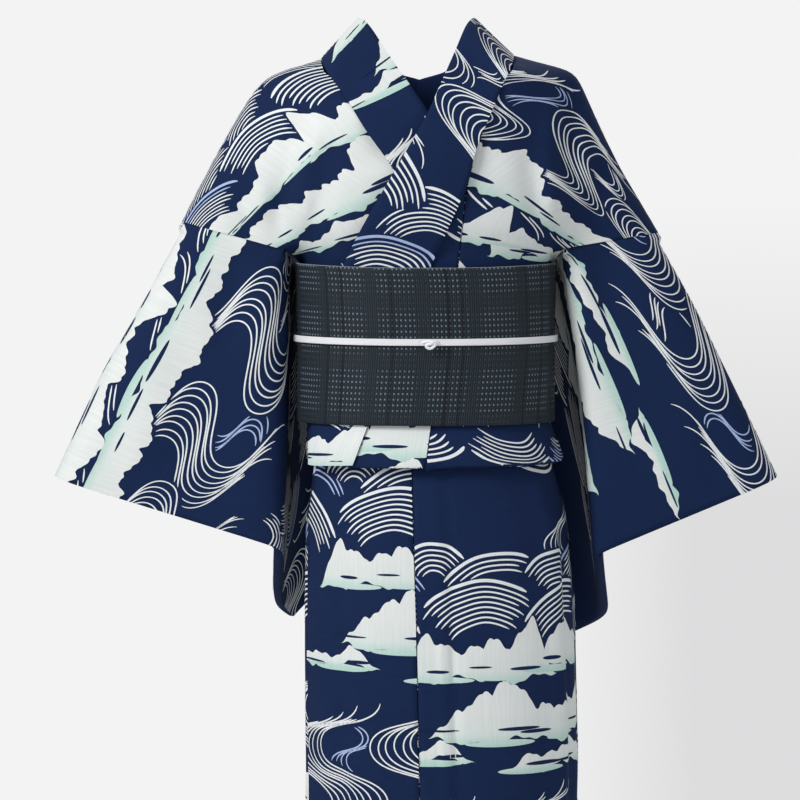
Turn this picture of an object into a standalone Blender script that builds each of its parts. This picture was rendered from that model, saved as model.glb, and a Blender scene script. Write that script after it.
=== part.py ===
"""Cotton yukata robe in its worn form, with its obi belt and cord.

Metres, +Z up, the front of the robe faces -Y and the wearer's left is +X.
The origin is at the base of the neck, on the shoulder line. Every panel is a
thin cloth wall on one of three forms: the height field of the shoulders and
arms, the rings of the torso and skirt, or the folded bag of a sleeve.
"""
import math

import bmesh
import bpy
import numpy as np

# ---------------------------------------------------------------- sizes
WALL = 0.0012            # thickness of one cloth wall
GAP = 0.0005             # half of the gap left at a seam
SIDE_GAP = 0.0012        # half of the gap at the side seams, where the wall turns
HEM_Z = -1.300
OBI_TOP_Z = -0.2233
OBI_BOTTOM_Z = -0.3955
OBI_TOP_DIP = 0.005      # the obi's top edge dips in the middle of the front
OBI_WALL = 0.0020
TUCK_Z = -0.4425         # lower fold of the waist tuck
SKIRT_TOP_Z = -0.355
SLEEVE_WIDTH = 0.315     # along the arm, from the sleeve seam to the cuff
SLEEVE_DROP = 0.490      # from the top fold to the bottom seam
CUFF_OPENING = 0.230
SLEEVE_MOUTH_GAP = 0.010
SLEEVE_EDGE_GAP = 0.006
KNOT_WIDTH = 0.150
KNOT_DEPTH = 0.013
CORD_WIDTH = 0.0072
CORD_WALL = 0.0030
CORD_Z = -0.3050

# cloth layers, from the inner wall of the skirt outwards: distance of each
SKIRT_UNDER = 0.0
SKIRT_OVER = 0.0022
BODY_RIGHT = 0.0044
COLLAR_RIGHT = 0.0066
BODY_LEFT = 0.0095
COLLAR_LEFT = 0.0121
OBI_OFF = 0.0156
CORD_OFF = OBI_OFF + 0.5 * OBI_WALL + 0.5 * CORD_WALL + 0.0006

# how much further each layer stands off above the obi
CHEST_EASE = {
    BODY_RIGHT: 0.0,
    COLLAR_RIGHT: 0.0020,
    BODY_LEFT: 0.0033,
    COLLAR_LEFT: 0.0060,
}

NAVY = (0.009, 0.019, 0.072)
OBI_BLUE = (0.022, 0.035, 0.052)
WHITE = (0.90, 0.90, 0.90)

# the rings of the body: height, centre, half width, depth in front, depth behind
RINGS = (
    (0.040, 0.000, 0.172, 0.112, 0.104),
    (-0.120, 0.001, 0.168, 0.110, 0.104),
    (-0.180, 0.003, 0.150, 0.105, 0.101),
    (-0.205, 0.005, 0.1345, 0.1015, 0.098),
    (-0.223, 0.006, 0.1267, 0.1000, 0.097),
    (-0.310, 0.006, 0.1250, 0.0990, 0.097),
    (-0.395, 0.006, 0.1255, 0.101, 0.103),
    (-0.420, 0.010, 0.1265, 0.103, 0.106),
    (-0.445, 0.014, 0.129, 0.106, 0.110),
    (-0.500, 0.017, 0.141, 0.115, 0.124),
    (-0.600, 0.021, 0.1445, 0.118, 0.130),
    (-0.780, 0.025, 0.1470, 0.118, 0.130),
    (-1.300, 0.020, 0.1430, 0.112, 0.120),
)
RING_POWER = 2.35

# shoulder and arm line, from the neck to the cuff: distance from the middle, height
ARM_LINE = {
    1: ((0.000, 0.010), (0.101, 0.002), (0.150, -0.009), (0.170, -0.015), (0.178, -0.032),
        (0.198, -0.077), (0.220, -0.121), (0.241, -0.156), (0.261, -0.190), (0.304, -0.266),
        (0.348, -0.353), (0.398, -0.455)),
    -1: ((0.000, 0.006), (0.107, -0.002), (0.143, -0.011), (0.167, -0.020), (0.185, -0.039),
         (0.205, -0.073), (0.226, -0.110), (0.244, -0.144), (0.261, -0.178), (0.314, -0.273),
         (0.354, -0.339), (0.407, -0.455)),
}
SEAM_POINT = 8           # the row of ARM_LINE at the sleeve seam
SHOULDER_POWER = 3.0
SHOULDER_DROP = 0.150    # height over which the chest comes forward
ARM_RADIUS = ((0.10, 0.050), (0.18, 0.052), (0.26, 0.046), (0.41, 0.036))

# fold down the front of each sleeve, top to bottom: distance from the middle, height
SLEEVE_FOLD = {
    1: ((0.1545, -0.209), (0.1600, -0.255), (0.1745, -0.354), (0.1805, -0.441), (0.1875, -0.541)),
    -1: ((0.1460, -0.211), (0.1465, -0.300), (0.1470, -0.400), (0.1480, -0.480), (0.1490, -0.533)),
}
SLEEVE_LEAN = {1: 1.0, -1: 5.0}   # degrees that the cloth behind the front fold leans inwards
BACK_LEAN = 10.0         # further degrees that it leans behind the waist

# length of sleeve cloth from the top fold to the front fold: at the seam, at the cuff
FOLD_DEPTH = {1: (0.115, 0.235), -1: (0.120, 0.270)}

# collar, from the middle of the back to its lower end. The seam edge and the free
# edge are distances towards the collar's own shoulder; the depth is ON_BODY where
# the edge lies on the front of the body.
ON_BODY = -1
COLLAR = {
    # seam x, depth y, height z, then free x, depth y, height z
    1: ((0.000, 0.096, -0.070, 0.000, 0.112, -0.016),
        (0.046, 0.082, -0.052, 0.036, 0.098, -0.004),
        (0.083, 0.045, -0.020, 0.058, 0.055, 0.024),
        (0.101, 0.000, 0.004, 0.0605, 0.004, 0.043),
        (0.095, ON_BODY, -0.018, 0.0500, -0.034, 0.034),
        (0.084, ON_BODY, -0.042, 0.0360, -0.066, 0.001),
        (0.058, ON_BODY, -0.104, 0.0078, ON_BODY, -0.064),
        (0.048, ON_BODY, -0.143, -0.0120, ON_BODY, -0.100),
        (0.011, ON_BODY, -0.226, -0.0826, ON_BODY, -0.226),
        (-0.022, ON_BODY, -0.310, -0.1010, ON_BODY, -0.310),
        (-0.056, ON_BODY, -0.396, -0.1185, ON_BODY, -0.399),
        (-0.072, ON_BODY, -0.438, -0.1205, ON_BODY, -0.441)),
    -1: ((0.000, 0.096, -0.070, 0.000, 0.112, -0.016),
         (0.050, 0.082, -0.052, 0.040, 0.098, -0.004),
         (0.090, 0.045, -0.022, 0.066, 0.055, 0.024),
         (0.107, 0.000, 0.000, 0.0690, 0.002, 0.043),
         (0.101, ON_BODY, -0.018, 0.0560, -0.034, 0.034),
         (0.081, ON_BODY, -0.046, 0.0295, -0.070, -0.008),
         (0.057, ON_BODY, -0.085, -0.0079, ON_BODY, -0.064),
         (0.027, ON_BODY, -0.127, -0.0280, ON_BODY, -0.100),
         (-0.040, ON_BODY, -0.226, -0.1000, ON_BODY, -0.226),
         (-0.052, ON_BODY, -0.310, -0.1050, ON_BODY, -0.310),
         (-0.060, ON_BODY, -0.396, -0.1100, ON_BODY, -0.399),
         (-0.066, ON_BODY, -0.438, -0.1140, ON_BODY, -0.441)),
}

# seam between body and okumi above the waist: distance towards its own side, height
OKUMI_SEAM = {
    1: ((0.048, -0.143), (0.0392, -0.2273), (0.0250, -0.310), (0.0110, -0.396), (0.0044, -0.4425)),
    -1: ((0.0245, -0.131), (0.0300, -0.2273), (0.0230, -0.310), (0.0110, -0.396), (0.0044, -0.4425)),
}
TUCK_EASE = {1: 0.0070, -1: 0.0045}   # how far the waist tuck stands off the skirt
TUCK_FOLD = 0.0024       # from the outer to the inner wall of the waist tuck
LAP = 0.006              # how far a panel runs in under the collar
NECK_GAP = 0.0022        # from the collar's seam edge to the body where the collar stands up
ROWS_ABOVE_OBI = 8
ROW_BY_OBI = 0.458       # place of one more row, just above the obi
NECK_ROW = 4             # row of a body panel at the lowest point of the back neckline
ROWS_UNDER_OBI = (0.62, 0.81, 0.90, 0.96, 1.0)
TURNED_UP = (0.9995, 0.9495)   # rows of the part that turns up inside the waist tuck
POINT_ROW = 6            # row of a body panel at the upper point of the okumi
FOLD_ROW = 7             # row of a body panel at the front fold of the sleeve

# the skirt panels: edges in metres round the hips from the front, and the layer at each edge
SKIRT_PANELS = (
    # name, start, end, layer at start, layer at end
    ("skirt_okumi_left", -0.176, -0.026, SKIRT_OVER, SKIRT_OVER),
    ("skirt_front_left", -0.026, 0.212, SKIRT_OVER, SKIRT_OVER),
    ("skirt_back_left", 0.212, 0.445, SKIRT_OVER, SKIRT_UNDER),
    ("skirt_back_right", 0.445, 0.672, SKIRT_UNDER, SKIRT_UNDER),
    ("skirt_front_right", 0.672, 0.890, SKIRT_UNDER, SKIRT_UNDER),
    ("skirt_okumi_right", 0.890, 1.036, SKIRT_UNDER, SKIRT_UNDER),
)
HIP_GIRTH = 0.890        # length round the hips that the table above counts in
SKIRT_LEVELS = (SKIRT_TOP_Z, -0.400, -0.445, -0.500, -0.600, -0.780, -1.040, HEM_Z)


# ---------------------------------------------------------------- small helpers
def smooth(low, high, value):
    """A smooth step from 0 at low to 1 at high; low may be the larger."""
    t = np.clip((value - low) / (high - low), 0.0, 1.0)
    return t * t * (3.0 - 2.0 * t)


def curve_through(rows, t):
    """Point at t, from 0 to 1, on a smooth curve through evenly counted rows."""
    rows = np.asarray(rows, dtype=float)
    last = len(rows) - 1
    place = min(max(t, 0.0), 1.0) * last
    i = min(int(place), last - 1)
    f = place - i
    a, b = rows[i], rows[i + 1]
    into = (b - rows[i - 1]) * 0.5 if i > 0 else b - a
    out = (rows[i + 2] - a) * 0.5 if i + 2 <= last else b - a
    return ((2 * f ** 3 - 3 * f ** 2 + 1) * a + (f ** 3 - 2 * f ** 2 + f) * into
            + (3 * f ** 2 - 2 * f ** 3) * b + (f ** 3 - f ** 2) * out)


def along(points, share):
    """Point at a share of the length of a line through points."""
    points = np.asarray(points, dtype=float)
    runs = np.hypot(*(points[1:] - points[:-1]).T)
    marks = np.concatenate(([0.0], np.cumsum(runs))) / runs.sum()
    return np.array([np.interp(share, marks, points[:, k]) for k in range(2)])


def ring_at(z):
    """Centre, half width, front depth and back depth of the body at height z."""
    table = np.array(RINGS)[::-1]
    return [float(np.interp(z, table[:, 0], table[:, k])) for k in (1, 2, 3, 4)]


def ring_angles():
    """Angles round a hip ring, and the share of its girth that each one marks."""
    angles = np.linspace(0.0, 2.0 * math.pi, 721)
    points = np.array([ring_point(a, -0.600, 0.0)[:2] for a in angles])
    runs = np.hypot(*(points[1:] - points[:-1]).T)
    return angles, np.concatenate(([0.0], np.cumsum(runs))) / runs.sum()


def ring_point(angle, z, off):
    """Point on the ring at height z. Angle 0 is the front and a quarter turn is +X."""
    cx, half, front, back = ring_at(z)
    s, c = math.sin(angle), math.cos(angle)
    depth = front if c > 0 else back
    x = cx + (half + off) * math.copysign(abs(s) ** (2 / RING_POWER), s)
    y = -(depth + off) * math.copysign(abs(c) ** (2 / RING_POWER), c)
    return (x, y, z)


def arm_distance(side, x, z):
    """Distance in the frontal plane from a point to the shoulder and arm line."""
    line = np.array(ARM_LINE[side])
    best = 9.0
    for a, b in zip(line[:-1], line[1:]):
        run = b - a
        t = np.clip(np.dot(np.array([x, z]) - a, run) / np.dot(run, run), 0.0, 1.0)
        best = min(best, float(np.hypot(*(a + t * run - (x, z)))))
    return best


def round_over(share):
    """Quarter of a circle: 0 at the line, 1 from a share of 1 on."""
    return math.sqrt(1.0 - (1.0 - min(max(share, 0.0), 1.0)) ** 2)


def torso_depth(x, z, off, behind):
    """Depth of the torso under a point of the frontal plane."""
    cx, half, front, back = ring_at(z)
    side = 1 if x >= 0 else -1
    line = np.array(ARM_LINE[side])[:5]
    top = float(np.interp(abs(x), line[:, 0], line[:, 1]))
    share = abs(x - cx) / (half + off)
    if share >= 1.0:
        return 0.0
    depth = (back if behind else front) + off
    depth = depth * (1.0 - share ** RING_POWER) ** (1 / RING_POWER)
    return depth * round_over((top - z + off) / SHOULDER_DROP)


def arm_radius(x):
    """Half thickness of the filled sleeve at a distance from the middle."""
    table = np.array(ARM_RADIUS)
    return float(np.interp(abs(x), table[:, 0], table[:, 1]))


def front_y(x, z, off, arm=1.0):
    """Front of the robe over a point of the frontal plane."""
    side = 1 if x >= 0 else -1
    r = arm_radius(x) + off
    sleeve = arm * r * round_over((arm_distance(side, abs(x), z) + off) / r)
    torso = torso_depth(x, z, off, False)
    return -(torso ** SHOULDER_POWER + sleeve ** SHOULDER_POWER) ** (1 / SHOULDER_POWER)


def back_y(x, z, off, arm=1.0):
    """Back of the robe over a point of the frontal plane."""
    side = 1 if x >= 0 else -1
    r = arm_radius(x) * 0.85 + off
    far = arm_distance(side, abs(x), z)
    sleeve = arm * r * round_over((far + off) / r) * (1.0 - smooth(0.06, 0.17, far))
    torso = torso_depth(x, z, off, True)
    return (torso ** SHOULDER_POWER + sleeve ** SHOULDER_POWER) ** (1 / SHOULDER_POWER)


# ---------------------------------------------------------------- making solids
def add_object(name, mesh, colour, roughness):
    """Put a mesh in the robe's collection with its own material."""
    material = bpy.data.materials.new(name)
    material.use_nodes = True
    shader = material.node_tree.nodes["Principled BSDF"]
    shader.inputs["Base Color"].default_value = (*colour, 1.0)
    shader.inputs["Roughness"].default_value = roughness
    mesh.materials.append(material)
    obj = bpy.data.objects.new(name, mesh)
    ROBE.objects.link(obj)
    mesh.shade_smooth()
    return obj


def thicken(obj, thickness, offset=0.0):
    """Give an open surface its cloth wall."""
    wall = obj.modifiers.new("wall", "SOLIDIFY")
    wall.thickness = thickness
    wall.offset = offset
    wall.use_quality_normals = True
    return obj


def cloth_panel(name, point, columns, rows, colour, thickness=WALL, loop=False):
    """A grid moved by point(u, v), with u and v from 0 to 1, given a wall."""
    form = bmesh.new()
    bmesh.ops.create_grid(form, x_segments=columns, y_segments=rows, size=0.5)
    for vertex in form.verts:
        u = vertex.co.x + 0.5
        v = vertex.co.y + 0.5
        vertex.co = point(u, v)
    if loop:
        bmesh.ops.remove_doubles(form, verts=form.verts, dist=0.00005)
    mesh = bpy.data.meshes.new(name)
    form.to_mesh(mesh)
    form.free()
    return thicken(add_object(name, mesh, colour, 0.9), thickness)


# ---------------------------------------------------------------- robe above the waist
def collar_rows(side):
    """The collar's table with a depth worked out wherever an edge lies on the body."""
    layer = COLLAR_LEFT if side > 0 else COLLAR_RIGHT
    rows = []
    for seam_x, seam_y, seam_z, free_x, free_y, free_z in COLLAR[side]:
        if seam_y == ON_BODY:
            seam_y = lying_y(side * seam_x, seam_z, layer)
        if free_y == ON_BODY:
            free_y = lying_y(side * free_x, free_z, layer)
        rows.append((seam_x, seam_y, seam_z, free_x, free_y, free_z))
    return rows


def layer_off(layer, z):
    """Distance of a cloth layer from the inner form at height z."""
    side = 1 if layer >= BODY_LEFT else -1
    chest = CHEST_EASE[layer] * float(smooth(-0.222, -0.190, z))
    return layer + chest + tuck_ease(side, z)


def lying_y(x, z, layer):
    """Depth of a cloth layer that lies on the front of the body."""
    return front_y(x, z, layer_off(layer, z), float(smooth(OBI_TOP_Z, OBI_TOP_Z + 0.03, z)))


def collar_edge(side, share, free):
    """Seam edge or free edge of one half of the collar, in its own side's sense."""
    row = curve_through(COLLAR_ROWS[side], share)
    return row[3:6] if free else row[0:3]


def body_row(k):
    """Place of row k of a body panel above the obi, closer together at the shoulder."""
    return 0.5 * (k / ROWS_ABOVE_OBI) ** 1.35


def rows_from(first):
    """Places of the rows of a body panel from one row down to the fold of the waist tuck."""
    upper = [body_row(k) for k in range(first, FOLD_ROW + 1)]
    return upper + [ROW_BY_OBI, 0.5] + list(ROWS_UNDER_OBI)


def collar_seam_rows(side):
    """The collar's seam from the shoulder to the point of the okumi, moved in by the lap."""
    rows = []
    for row in (3.0, 4.0, 5.0, 5.6):
        seam = collar_edge(side, row / 11.0, False)[[0, 2]]
        free = collar_edge(side, row / 11.0, True)[[0, 2]]
        lap = -NECK_GAP + (LAP + NECK_GAP) * float(smooth(4.0, 5.0, row))
        rows.append(seam + (free - seam) * lap / 0.062)
    return rows


def body_edges(side, v, behind, shift=0.0):
    """Inner and outer edge of a body panel in the frontal plane, v from 0 (shoulder) to 1."""
    arm_line = np.array(ARM_LINE[side])
    seam_top = arm_line[SEAM_POINT]
    fold_top = np.array(SLEEVE_FOLD[side][0])
    cx, half, _, _ = ring_at(OBI_TOP_Z)
    off = BODY_LEFT if side > 0 else BODY_RIGHT
    under = np.array([side * cx + half + off, OBI_TOP_Z - 0.004])
    fold_row = body_row(FOLD_ROW)
    fold_top = fold_top + np.array([-0.0020, 0.0012])
    if v <= fold_row:
        outer = seam_top + (fold_top - seam_top) * v / fold_row
    elif v <= 0.5:
        outer = fold_top + (under - fold_top) * (v - fold_row) / (0.5 - fold_row)
    else:
        z = under[1] + (TUCK_Z - under[1]) * (v - 0.5) / 0.5
        cx, half, _, _ = ring_at(z)
        outer = np.array([side * cx + half + off + tuck_ease(side, z) + shift, z])
    if behind:
        corner = body_row(NECK_ROW)
        neck = [collar_edge(side, k / 11.0, False)[[0, 2]] for k in (3, 2, 1, 0)]
        neck[0] = collar_seam_rows(side)[0]
        low = neck[-1]
        if v <= corner:
            inner = along(neck, v / corner) - np.array([0.0, NECK_GAP * float(smooth(0.0, 0.05, v))])
        elif v <= 0.5:
            inner = low + (np.array([0.0, under[1]]) - low) * (v - corner) / (0.5 - corner)
            inner = inner - np.array([0.0, NECK_GAP * (0.5 - v) / (0.5 - corner)])
        else:
            inner = np.array([0.0, outer[1]])
    else:
        seam = np.array(OKUMI_SEAM[side])
        point = body_row(POINT_ROW)
        if v <= point:
            inner = along(collar_seam_rows(side) + [seam[0]], v / point)
        elif v <= 0.5:
            inner = seam[0] + (seam[1] - seam[0]) * (v - point) / (0.5 - point)
        else:
            x = float(np.interp(-outer[1], -seam[:, 1], seam[:, 0]))
            inner = np.array([x, outer[1]])
    return inner + np.array([GAP, 0.0]), outer


def tuck_ease(side, z):
    """Extra room between the waist tuck and the skirt."""
    return TUCK_EASE[side] * float(smooth(-0.397, -0.425, z))


def body_point(side, u, v, behind, layer, shift=0.0):
    """Point of a body panel: u from the middle to the side, v from the shoulder down."""
    inner, outer = body_edges(side, v, behind, shift)
    bend = smooth(0.30, 0.5, v)
    spread = u + (math.sin(u * math.pi / 2) - u) * bend * 0.95
    flat = inner + (outer - inner) * spread
    if v < 0.5:
        line = np.array(ARM_LINE[side])[1:SEAM_POINT + 1]
        top_inner, top_outer = body_edges(side, 0.0, behind)
        line[0] = top_inner
        ridge = along(line, u)
        flat = flat + (ridge - top_inner - (top_outer - top_inner) * u) * (1.0 - 2.0 * v) ** 2
    x = side * flat[0]
    z = flat[1]
    shoulder = float(smooth(0.0, 0.3, v)) * (1.0 - float(smooth(0.55, 1.0, u) * smooth(0.5, 0.4, v)))
    off = layer_off(layer, z) * shoulder + shift
    arm = float(smooth(0.5, 0.4, v))
    if v == 0.0:
        return (x, 0.0, z)
    if behind:
        return (x, max(back_y(x, z, off, arm), SIDE_GAP), z)
    return (x, min(front_y(x, z, off, arm), -SIDE_GAP), z)


def make_body(side, name, layer):
    """One body length: up the front, over the shoulder and down the back."""
    rows = rows_from(0)
    down = [(v, True, 0.0) for v in rows] + [(v, True, -TUCK_FOLD) for v in TURNED_UP]
    up = [(v, False, 0.0) for v in rows[1:]] + [(v, False, -TUCK_FOLD) for v in TURNED_UP]
    table = up[::-1] + down

    def point(u, v):
        place, behind, shift = table[round(v * (len(table) - 1))]
        return body_point(side, u, place, behind, layer, shift)

    return cloth_panel(name, point, 9, len(table) - 1, NAVY)


def make_okumi(side, name, layer):
    """The overlap panel above the waist: from its point down to the waist tuck."""
    table = [(v, 0.0) for v in rows_from(POINT_ROW)] + [(v, -TUCK_FOLD) for v in TURNED_UP]
    shares = np.linspace(5.0, 11.0, 70) / 11.0
    line = np.array([collar_edge(side, share, False)[[0, 2]] for share in shares])

    def point(u, v):
        place, shift = table[round(v * (len(table) - 1))]
        seam_edge, _ = body_edges(side, place, False)
        z = seam_edge[1]
        start = seam_edge[0] - 2 * GAP
        end = float(np.interp(-z, -line[:, 1], line[:, 0])) - LAP
        x = side * (start + (end - start) * u)
        return (x, front_y(x, z, layer_off(layer, z) + shift, float(smooth(0.5, 0.4, place))), z)

    return cloth_panel(name, point, 3, len(table) - 1, NAVY)


def make_collar():
    """The collar band: up the right front, round the neck and down the left front."""
    steps = 46

    def point(u, v):
        place = v * 2.0 - 1.0
        side = 1 if place >= 0 else -1
        seam = collar_edge(side, abs(place), False)
        free = collar_edge(side, abs(place), True)
        x, y, z = seam + (free - seam) * u
        x = side * x
        lying = float(smooth(4.0 + 0.6 * u, 5.2 + 0.8 * u, abs(place) * 11.0))
        if lying > 0.0:
            layer = COLLAR_LEFT if side > 0 else COLLAR_RIGHT
            y = y + (lying_y(x, z, layer) - y) * lying
        return (x, y, z)

    return cloth_panel("collar", point, 3, 2 * steps, NAVY)


# ---------------------------------------------------------------- skirt
def make_skirt(panel, angles, marks):
    """One width of the skirt, from under the obi to the hem."""
    name, start, end, layer_start, layer_end = panel

    def point(u, v):
        level = SKIRT_LEVELS[round(v * (len(SKIRT_LEVELS) - 1))]
        metres = start + GAP + (end - start - 2 * GAP) * u
        share = (metres / HIP_GIRTH) % 1.0
        angle = float(np.interp(share, marks, angles))
        off = layer_start + (layer_end - layer_start) * u
        return ring_point(angle, level, off)

    columns = round((end - start) / 0.022)
    return cloth_panel(name, point, columns, len(SKIRT_LEVELS) - 1, NAVY)


# ---------------------------------------------------------------- sleeves
def fin_path(lean, back_lean, turn_at):
    """The cloth behind the front fold, seen from above: inward run, backward run, heading."""
    steps = np.linspace(0.0, 0.40, 161)
    heading = lean + back_lean * smooth(0.04, 0.09, steps)
    heading = heading + (math.radians(78.0) - back_lean) * smooth(turn_at, turn_at + 0.10, steps)
    step = steps[1] - steps[0]
    inward = np.concatenate(([0.0], np.cumsum(np.sin(heading[:-1]) * step)))
    back = np.concatenate(([0.0], np.cumsum(np.cos(heading[:-1]) * step)))
    return steps, inward, back, heading


def sleeve_point(side, a, t, behind, edge_gap):
    """Point of a sleeve: a from the seam to the cuff, t down one wall from the top fold."""
    share = a / SLEEVE_WIDTH
    line = np.array(ARM_LINE[side])[SEAM_POINT:]
    top = along(line, share)
    fold = curve_through(SLEEVE_FOLD[side], share)
    turn = FOLD_DEPTH[side][0] + (FOLD_DEPTH[side][1] - FOLD_DEPTH[side][0]) * share
    gap = SLEEVE_MOUTH_GAP + (edge_gap - SLEEVE_MOUTH_GAP) * float(smooth(0.38, SLEEVE_DROP, t))
    close = float(smooth(0.0, 0.08, a))
    fold_y = front_y(side * fold[0], fold[1], 0.0)
    back_fold_y = back_y(side * fold[0], fold[1], 0.0)
    back_fold_y = back_fold_y + (fold_y + gap - back_fold_y) * close
    if t <= turn:
        flat = top + (fold - top) * t / turn
        x, z = side * flat[0], flat[1]
        y = front_y(x, z, 0.0)
        if behind:
            y_arm = back_y(x, z, 0.0)
            far = arm_distance(side, abs(x), z)
            y = y_arm + (y + gap - y_arm) * close * float(smooth(0.05, 0.15, far))
        return (x, y if t > 0 else 0.0, z)
    lean = math.radians(SLEEVE_LEAN[side] - 8.0 * share)
    steps, inward, back, heading = fin_path(lean, math.radians(BACK_LEAN) * (1.0 - share), 0.145)
    reach = (t - turn) * 0.903
    if behind:
        start = back_fold_y - fold_y - gap
        whole = (SLEEVE_DROP - turn) * 0.903
        reach = start + (whole - start) * (t - turn) / (SLEEVE_DROP - turn)
    reach = reach * (1.0 - 0.26 * (1.0 - share) * float(smooth(0.05, 0.33, reach)))
    x_in = float(np.interp(reach, steps, inward))
    y_back = float(np.interp(reach, steps, back))
    way = float(np.interp(reach, steps, heading))
    x = fold[0] - x_in
    y = fold_y + y_back
    if behind:
        x = x + gap * math.cos(way)
        y = y + gap * math.sin(way)
    level = 0.34 * (1.0 - share) ** 3 * (1.0 - float(smooth(0.06, 0.37, t - turn)))
    z = fold[1] - (t - turn) * (0.47 - 0.02 * share - level)
    return (side * x, y, z)


def sleeve_stops(side, share):
    """Places down one wall of a sleeve: closer together at the top fold and the front fold."""
    turn = FOLD_DEPTH[side][0] + (FOLD_DEPTH[side][1] - FOLD_DEPTH[side][0]) * share
    rest = SLEEVE_DROP - turn
    upper = [turn * k for k in (0.0, 0.04, 0.12, 0.25, 0.42, 0.60, 0.78, 0.92)]
    return upper + [turn + 0.010] + [turn + rest * k for k in (0.22, 0.42, 0.60, 0.76, 0.89, 1.0)]


def make_sleeve(side, name):
    """A sleeve bag: front and back wall, closed at the bottom and up the cuff to the hand opening."""
    lengths = [GAP * 2] + [SLEEVE_WIDTH * k for k in (0.10, 0.22, 0.36, 0.52, 0.68, 0.84, 1.0)]
    form = bmesh.new()
    rings = []
    for a in lengths:
        stops = sleeve_stops(side, a / SLEEVE_WIDTH)
        front = [form.verts.new(sleeve_point(side, a, t, False, SLEEVE_EDGE_GAP)) for t in stops]
        back = [form.verts.new(sleeve_point(side, a, t, True, SLEEVE_EDGE_GAP)) for t in stops[1:]]
        rings.append(front + back[::-1])
    count = len(rings[0])
    for ring, other in zip(rings[:-1], rings[1:]):
        for k in range(count):
            corner = (ring[k], ring[(k + 1) % count], other[(k + 1) % count], other[k])
            form.faces.new(corner if side < 0 else corner[::-1])
    cuff = rings[-1]
    stops = sleeve_stops(side, 1.0)
    closed = [k for k, t in enumerate(stops) if t >= CUFF_OPENING]
    for k in closed[:-1]:
        corner = (cuff[k], cuff[k + 1], cuff[count - k - 1], cuff[count - k])
        form.faces.new(corner if side < 0 else corner[::-1])
    bmesh.ops.recalc_face_normals(form, faces=form.faces)
    mesh = bpy.data.meshes.new(name)
    form.to_mesh(mesh)
    form.free()
    return thicken(add_object(name, mesh, NAVY, 0.9), WALL, -1.0)


# ---------------------------------------------------------------- obi and cord
def make_band(name, top, bottom, off, thickness, segments, rows, colour):
    """A closed band round the waist between two heights, which may vary round the body."""
    def point(u, v):
        angle = u * 2.0 * math.pi
        z = bottom(angle) + (top(angle) - bottom(angle)) * v
        return ring_point(angle, z, off)
    return cloth_panel(name, point, segments, rows, colour, thickness, loop=True)


def front_share(angle):
    """1 at the middle of the front, falling to 0 at the sides and behind."""
    return max(0.0, math.cos(angle)) ** 2


def make_obi_knot():
    """The plain folded knot at the back: a flat card of folded band on the obi's curve."""
    def point(u, v):
        z = OBI_BOTTOM_Z + 0.001 + (OBI_TOP_Z - OBI_BOTTOM_Z - 0.002) * v
        cx, half, _, back = ring_at(z)
        off = OBI_OFF + 0.5 * OBI_WALL + 0.5 * KNOT_DEPTH + 0.0008
        x = (u - 0.5) * KNOT_WIDTH
        y = (back + off) * (1.0 - (abs(x) / (half + off)) ** RING_POWER) ** (1 / RING_POWER)
        return (cx - x, y, z)
    knot = cloth_panel("obi_knot", point, 8, 3, OBI_BLUE, KNOT_DEPTH)
    edge = knot.modifiers.new("edge", "BEVEL")
    edge.width = 0.004
    edge.segments = 2
    edge.limit_method = "ANGLE"
    edge.angle_limit = math.radians(50)
    return knot


def make_cord():
    """The flat braided cord: round the obi, and out over the knot behind."""
    def point(u, v):
        angle = u * 2.0 * math.pi
        x, y, z = ring_point(angle, CORD_Z, CORD_OFF)
        out = (KNOT_DEPTH + 0.0030) * float(smooth(-0.60, -0.85, math.cos(angle)))
        return (x, y + out, CORD_Z - 0.002 * front_share(angle) + (v - 0.5) * CORD_WIDTH)
    return cloth_panel("obi_cord", point, 64, 1, WHITE, CORD_WALL, loop=True)


def make_cord_knot():
    """The cord's small knot at the front: a rounded, slightly slanted lump."""
    form = bmesh.new()
    bmesh.ops.create_uvsphere(form, u_segments=16, v_segments=8, radius=0.5)
    _, _, front, _ = ring_at(CORD_Z)
    face = -(front + CORD_OFF + 0.5 * CORD_WALL)
    size = (0.0150, 0.0080, 0.0110)
    tilt = math.radians(-18)
    for vertex in form.verts:
        x, y, z = (vertex.co[k] * size[k] for k in range(3))
        vertex.co = (0.0105 + x * math.cos(tilt) - z * math.sin(tilt), face - 0.0046 + y,
                     CORD_Z - 0.0040 + x * math.sin(tilt) + z * math.cos(tilt))
    mesh = bpy.data.meshes.new("obi_cord_knot")
    form.to_mesh(mesh)
    form.free()
    return add_object("obi_cord_knot", mesh, WHITE, 0.8)


# ---------------------------------------------------------------- building the robe
for old in list(bpy.data.objects):
    bpy.data.objects.remove(old, do_unlink=True)
ROBE = bpy.data.collections.new("yukata_robe")
bpy.context.scene.collection.children.link(ROBE)

COLLAR_ROWS = {side: collar_rows(side) for side in (1, -1)}
make_body(1, "body_left", BODY_LEFT)
make_body(-1, "body_right", BODY_RIGHT)
make_okumi(1, "okumi_left", BODY_LEFT)
make_okumi(-1, "okumi_right", BODY_RIGHT)
make_collar()
make_sleeve(1, "sleeve_left")
make_sleeve(-1, "sleeve_right")
hip_angles, hip_marks = ring_angles()
for skirt_panel in SKIRT_PANELS:
    make_skirt(skirt_panel, hip_angles, hip_marks)
make_band("obi_wrap", lambda a: OBI_TOP_Z - OBI_TOP_DIP * front_share(a), lambda a: OBI_BOTTOM_Z,
          OBI_OFF, OBI_WALL, 48, 2, OBI_BLUE)
make_obi_knot()
make_cord()
make_cord_knot()
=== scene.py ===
import math

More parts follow.
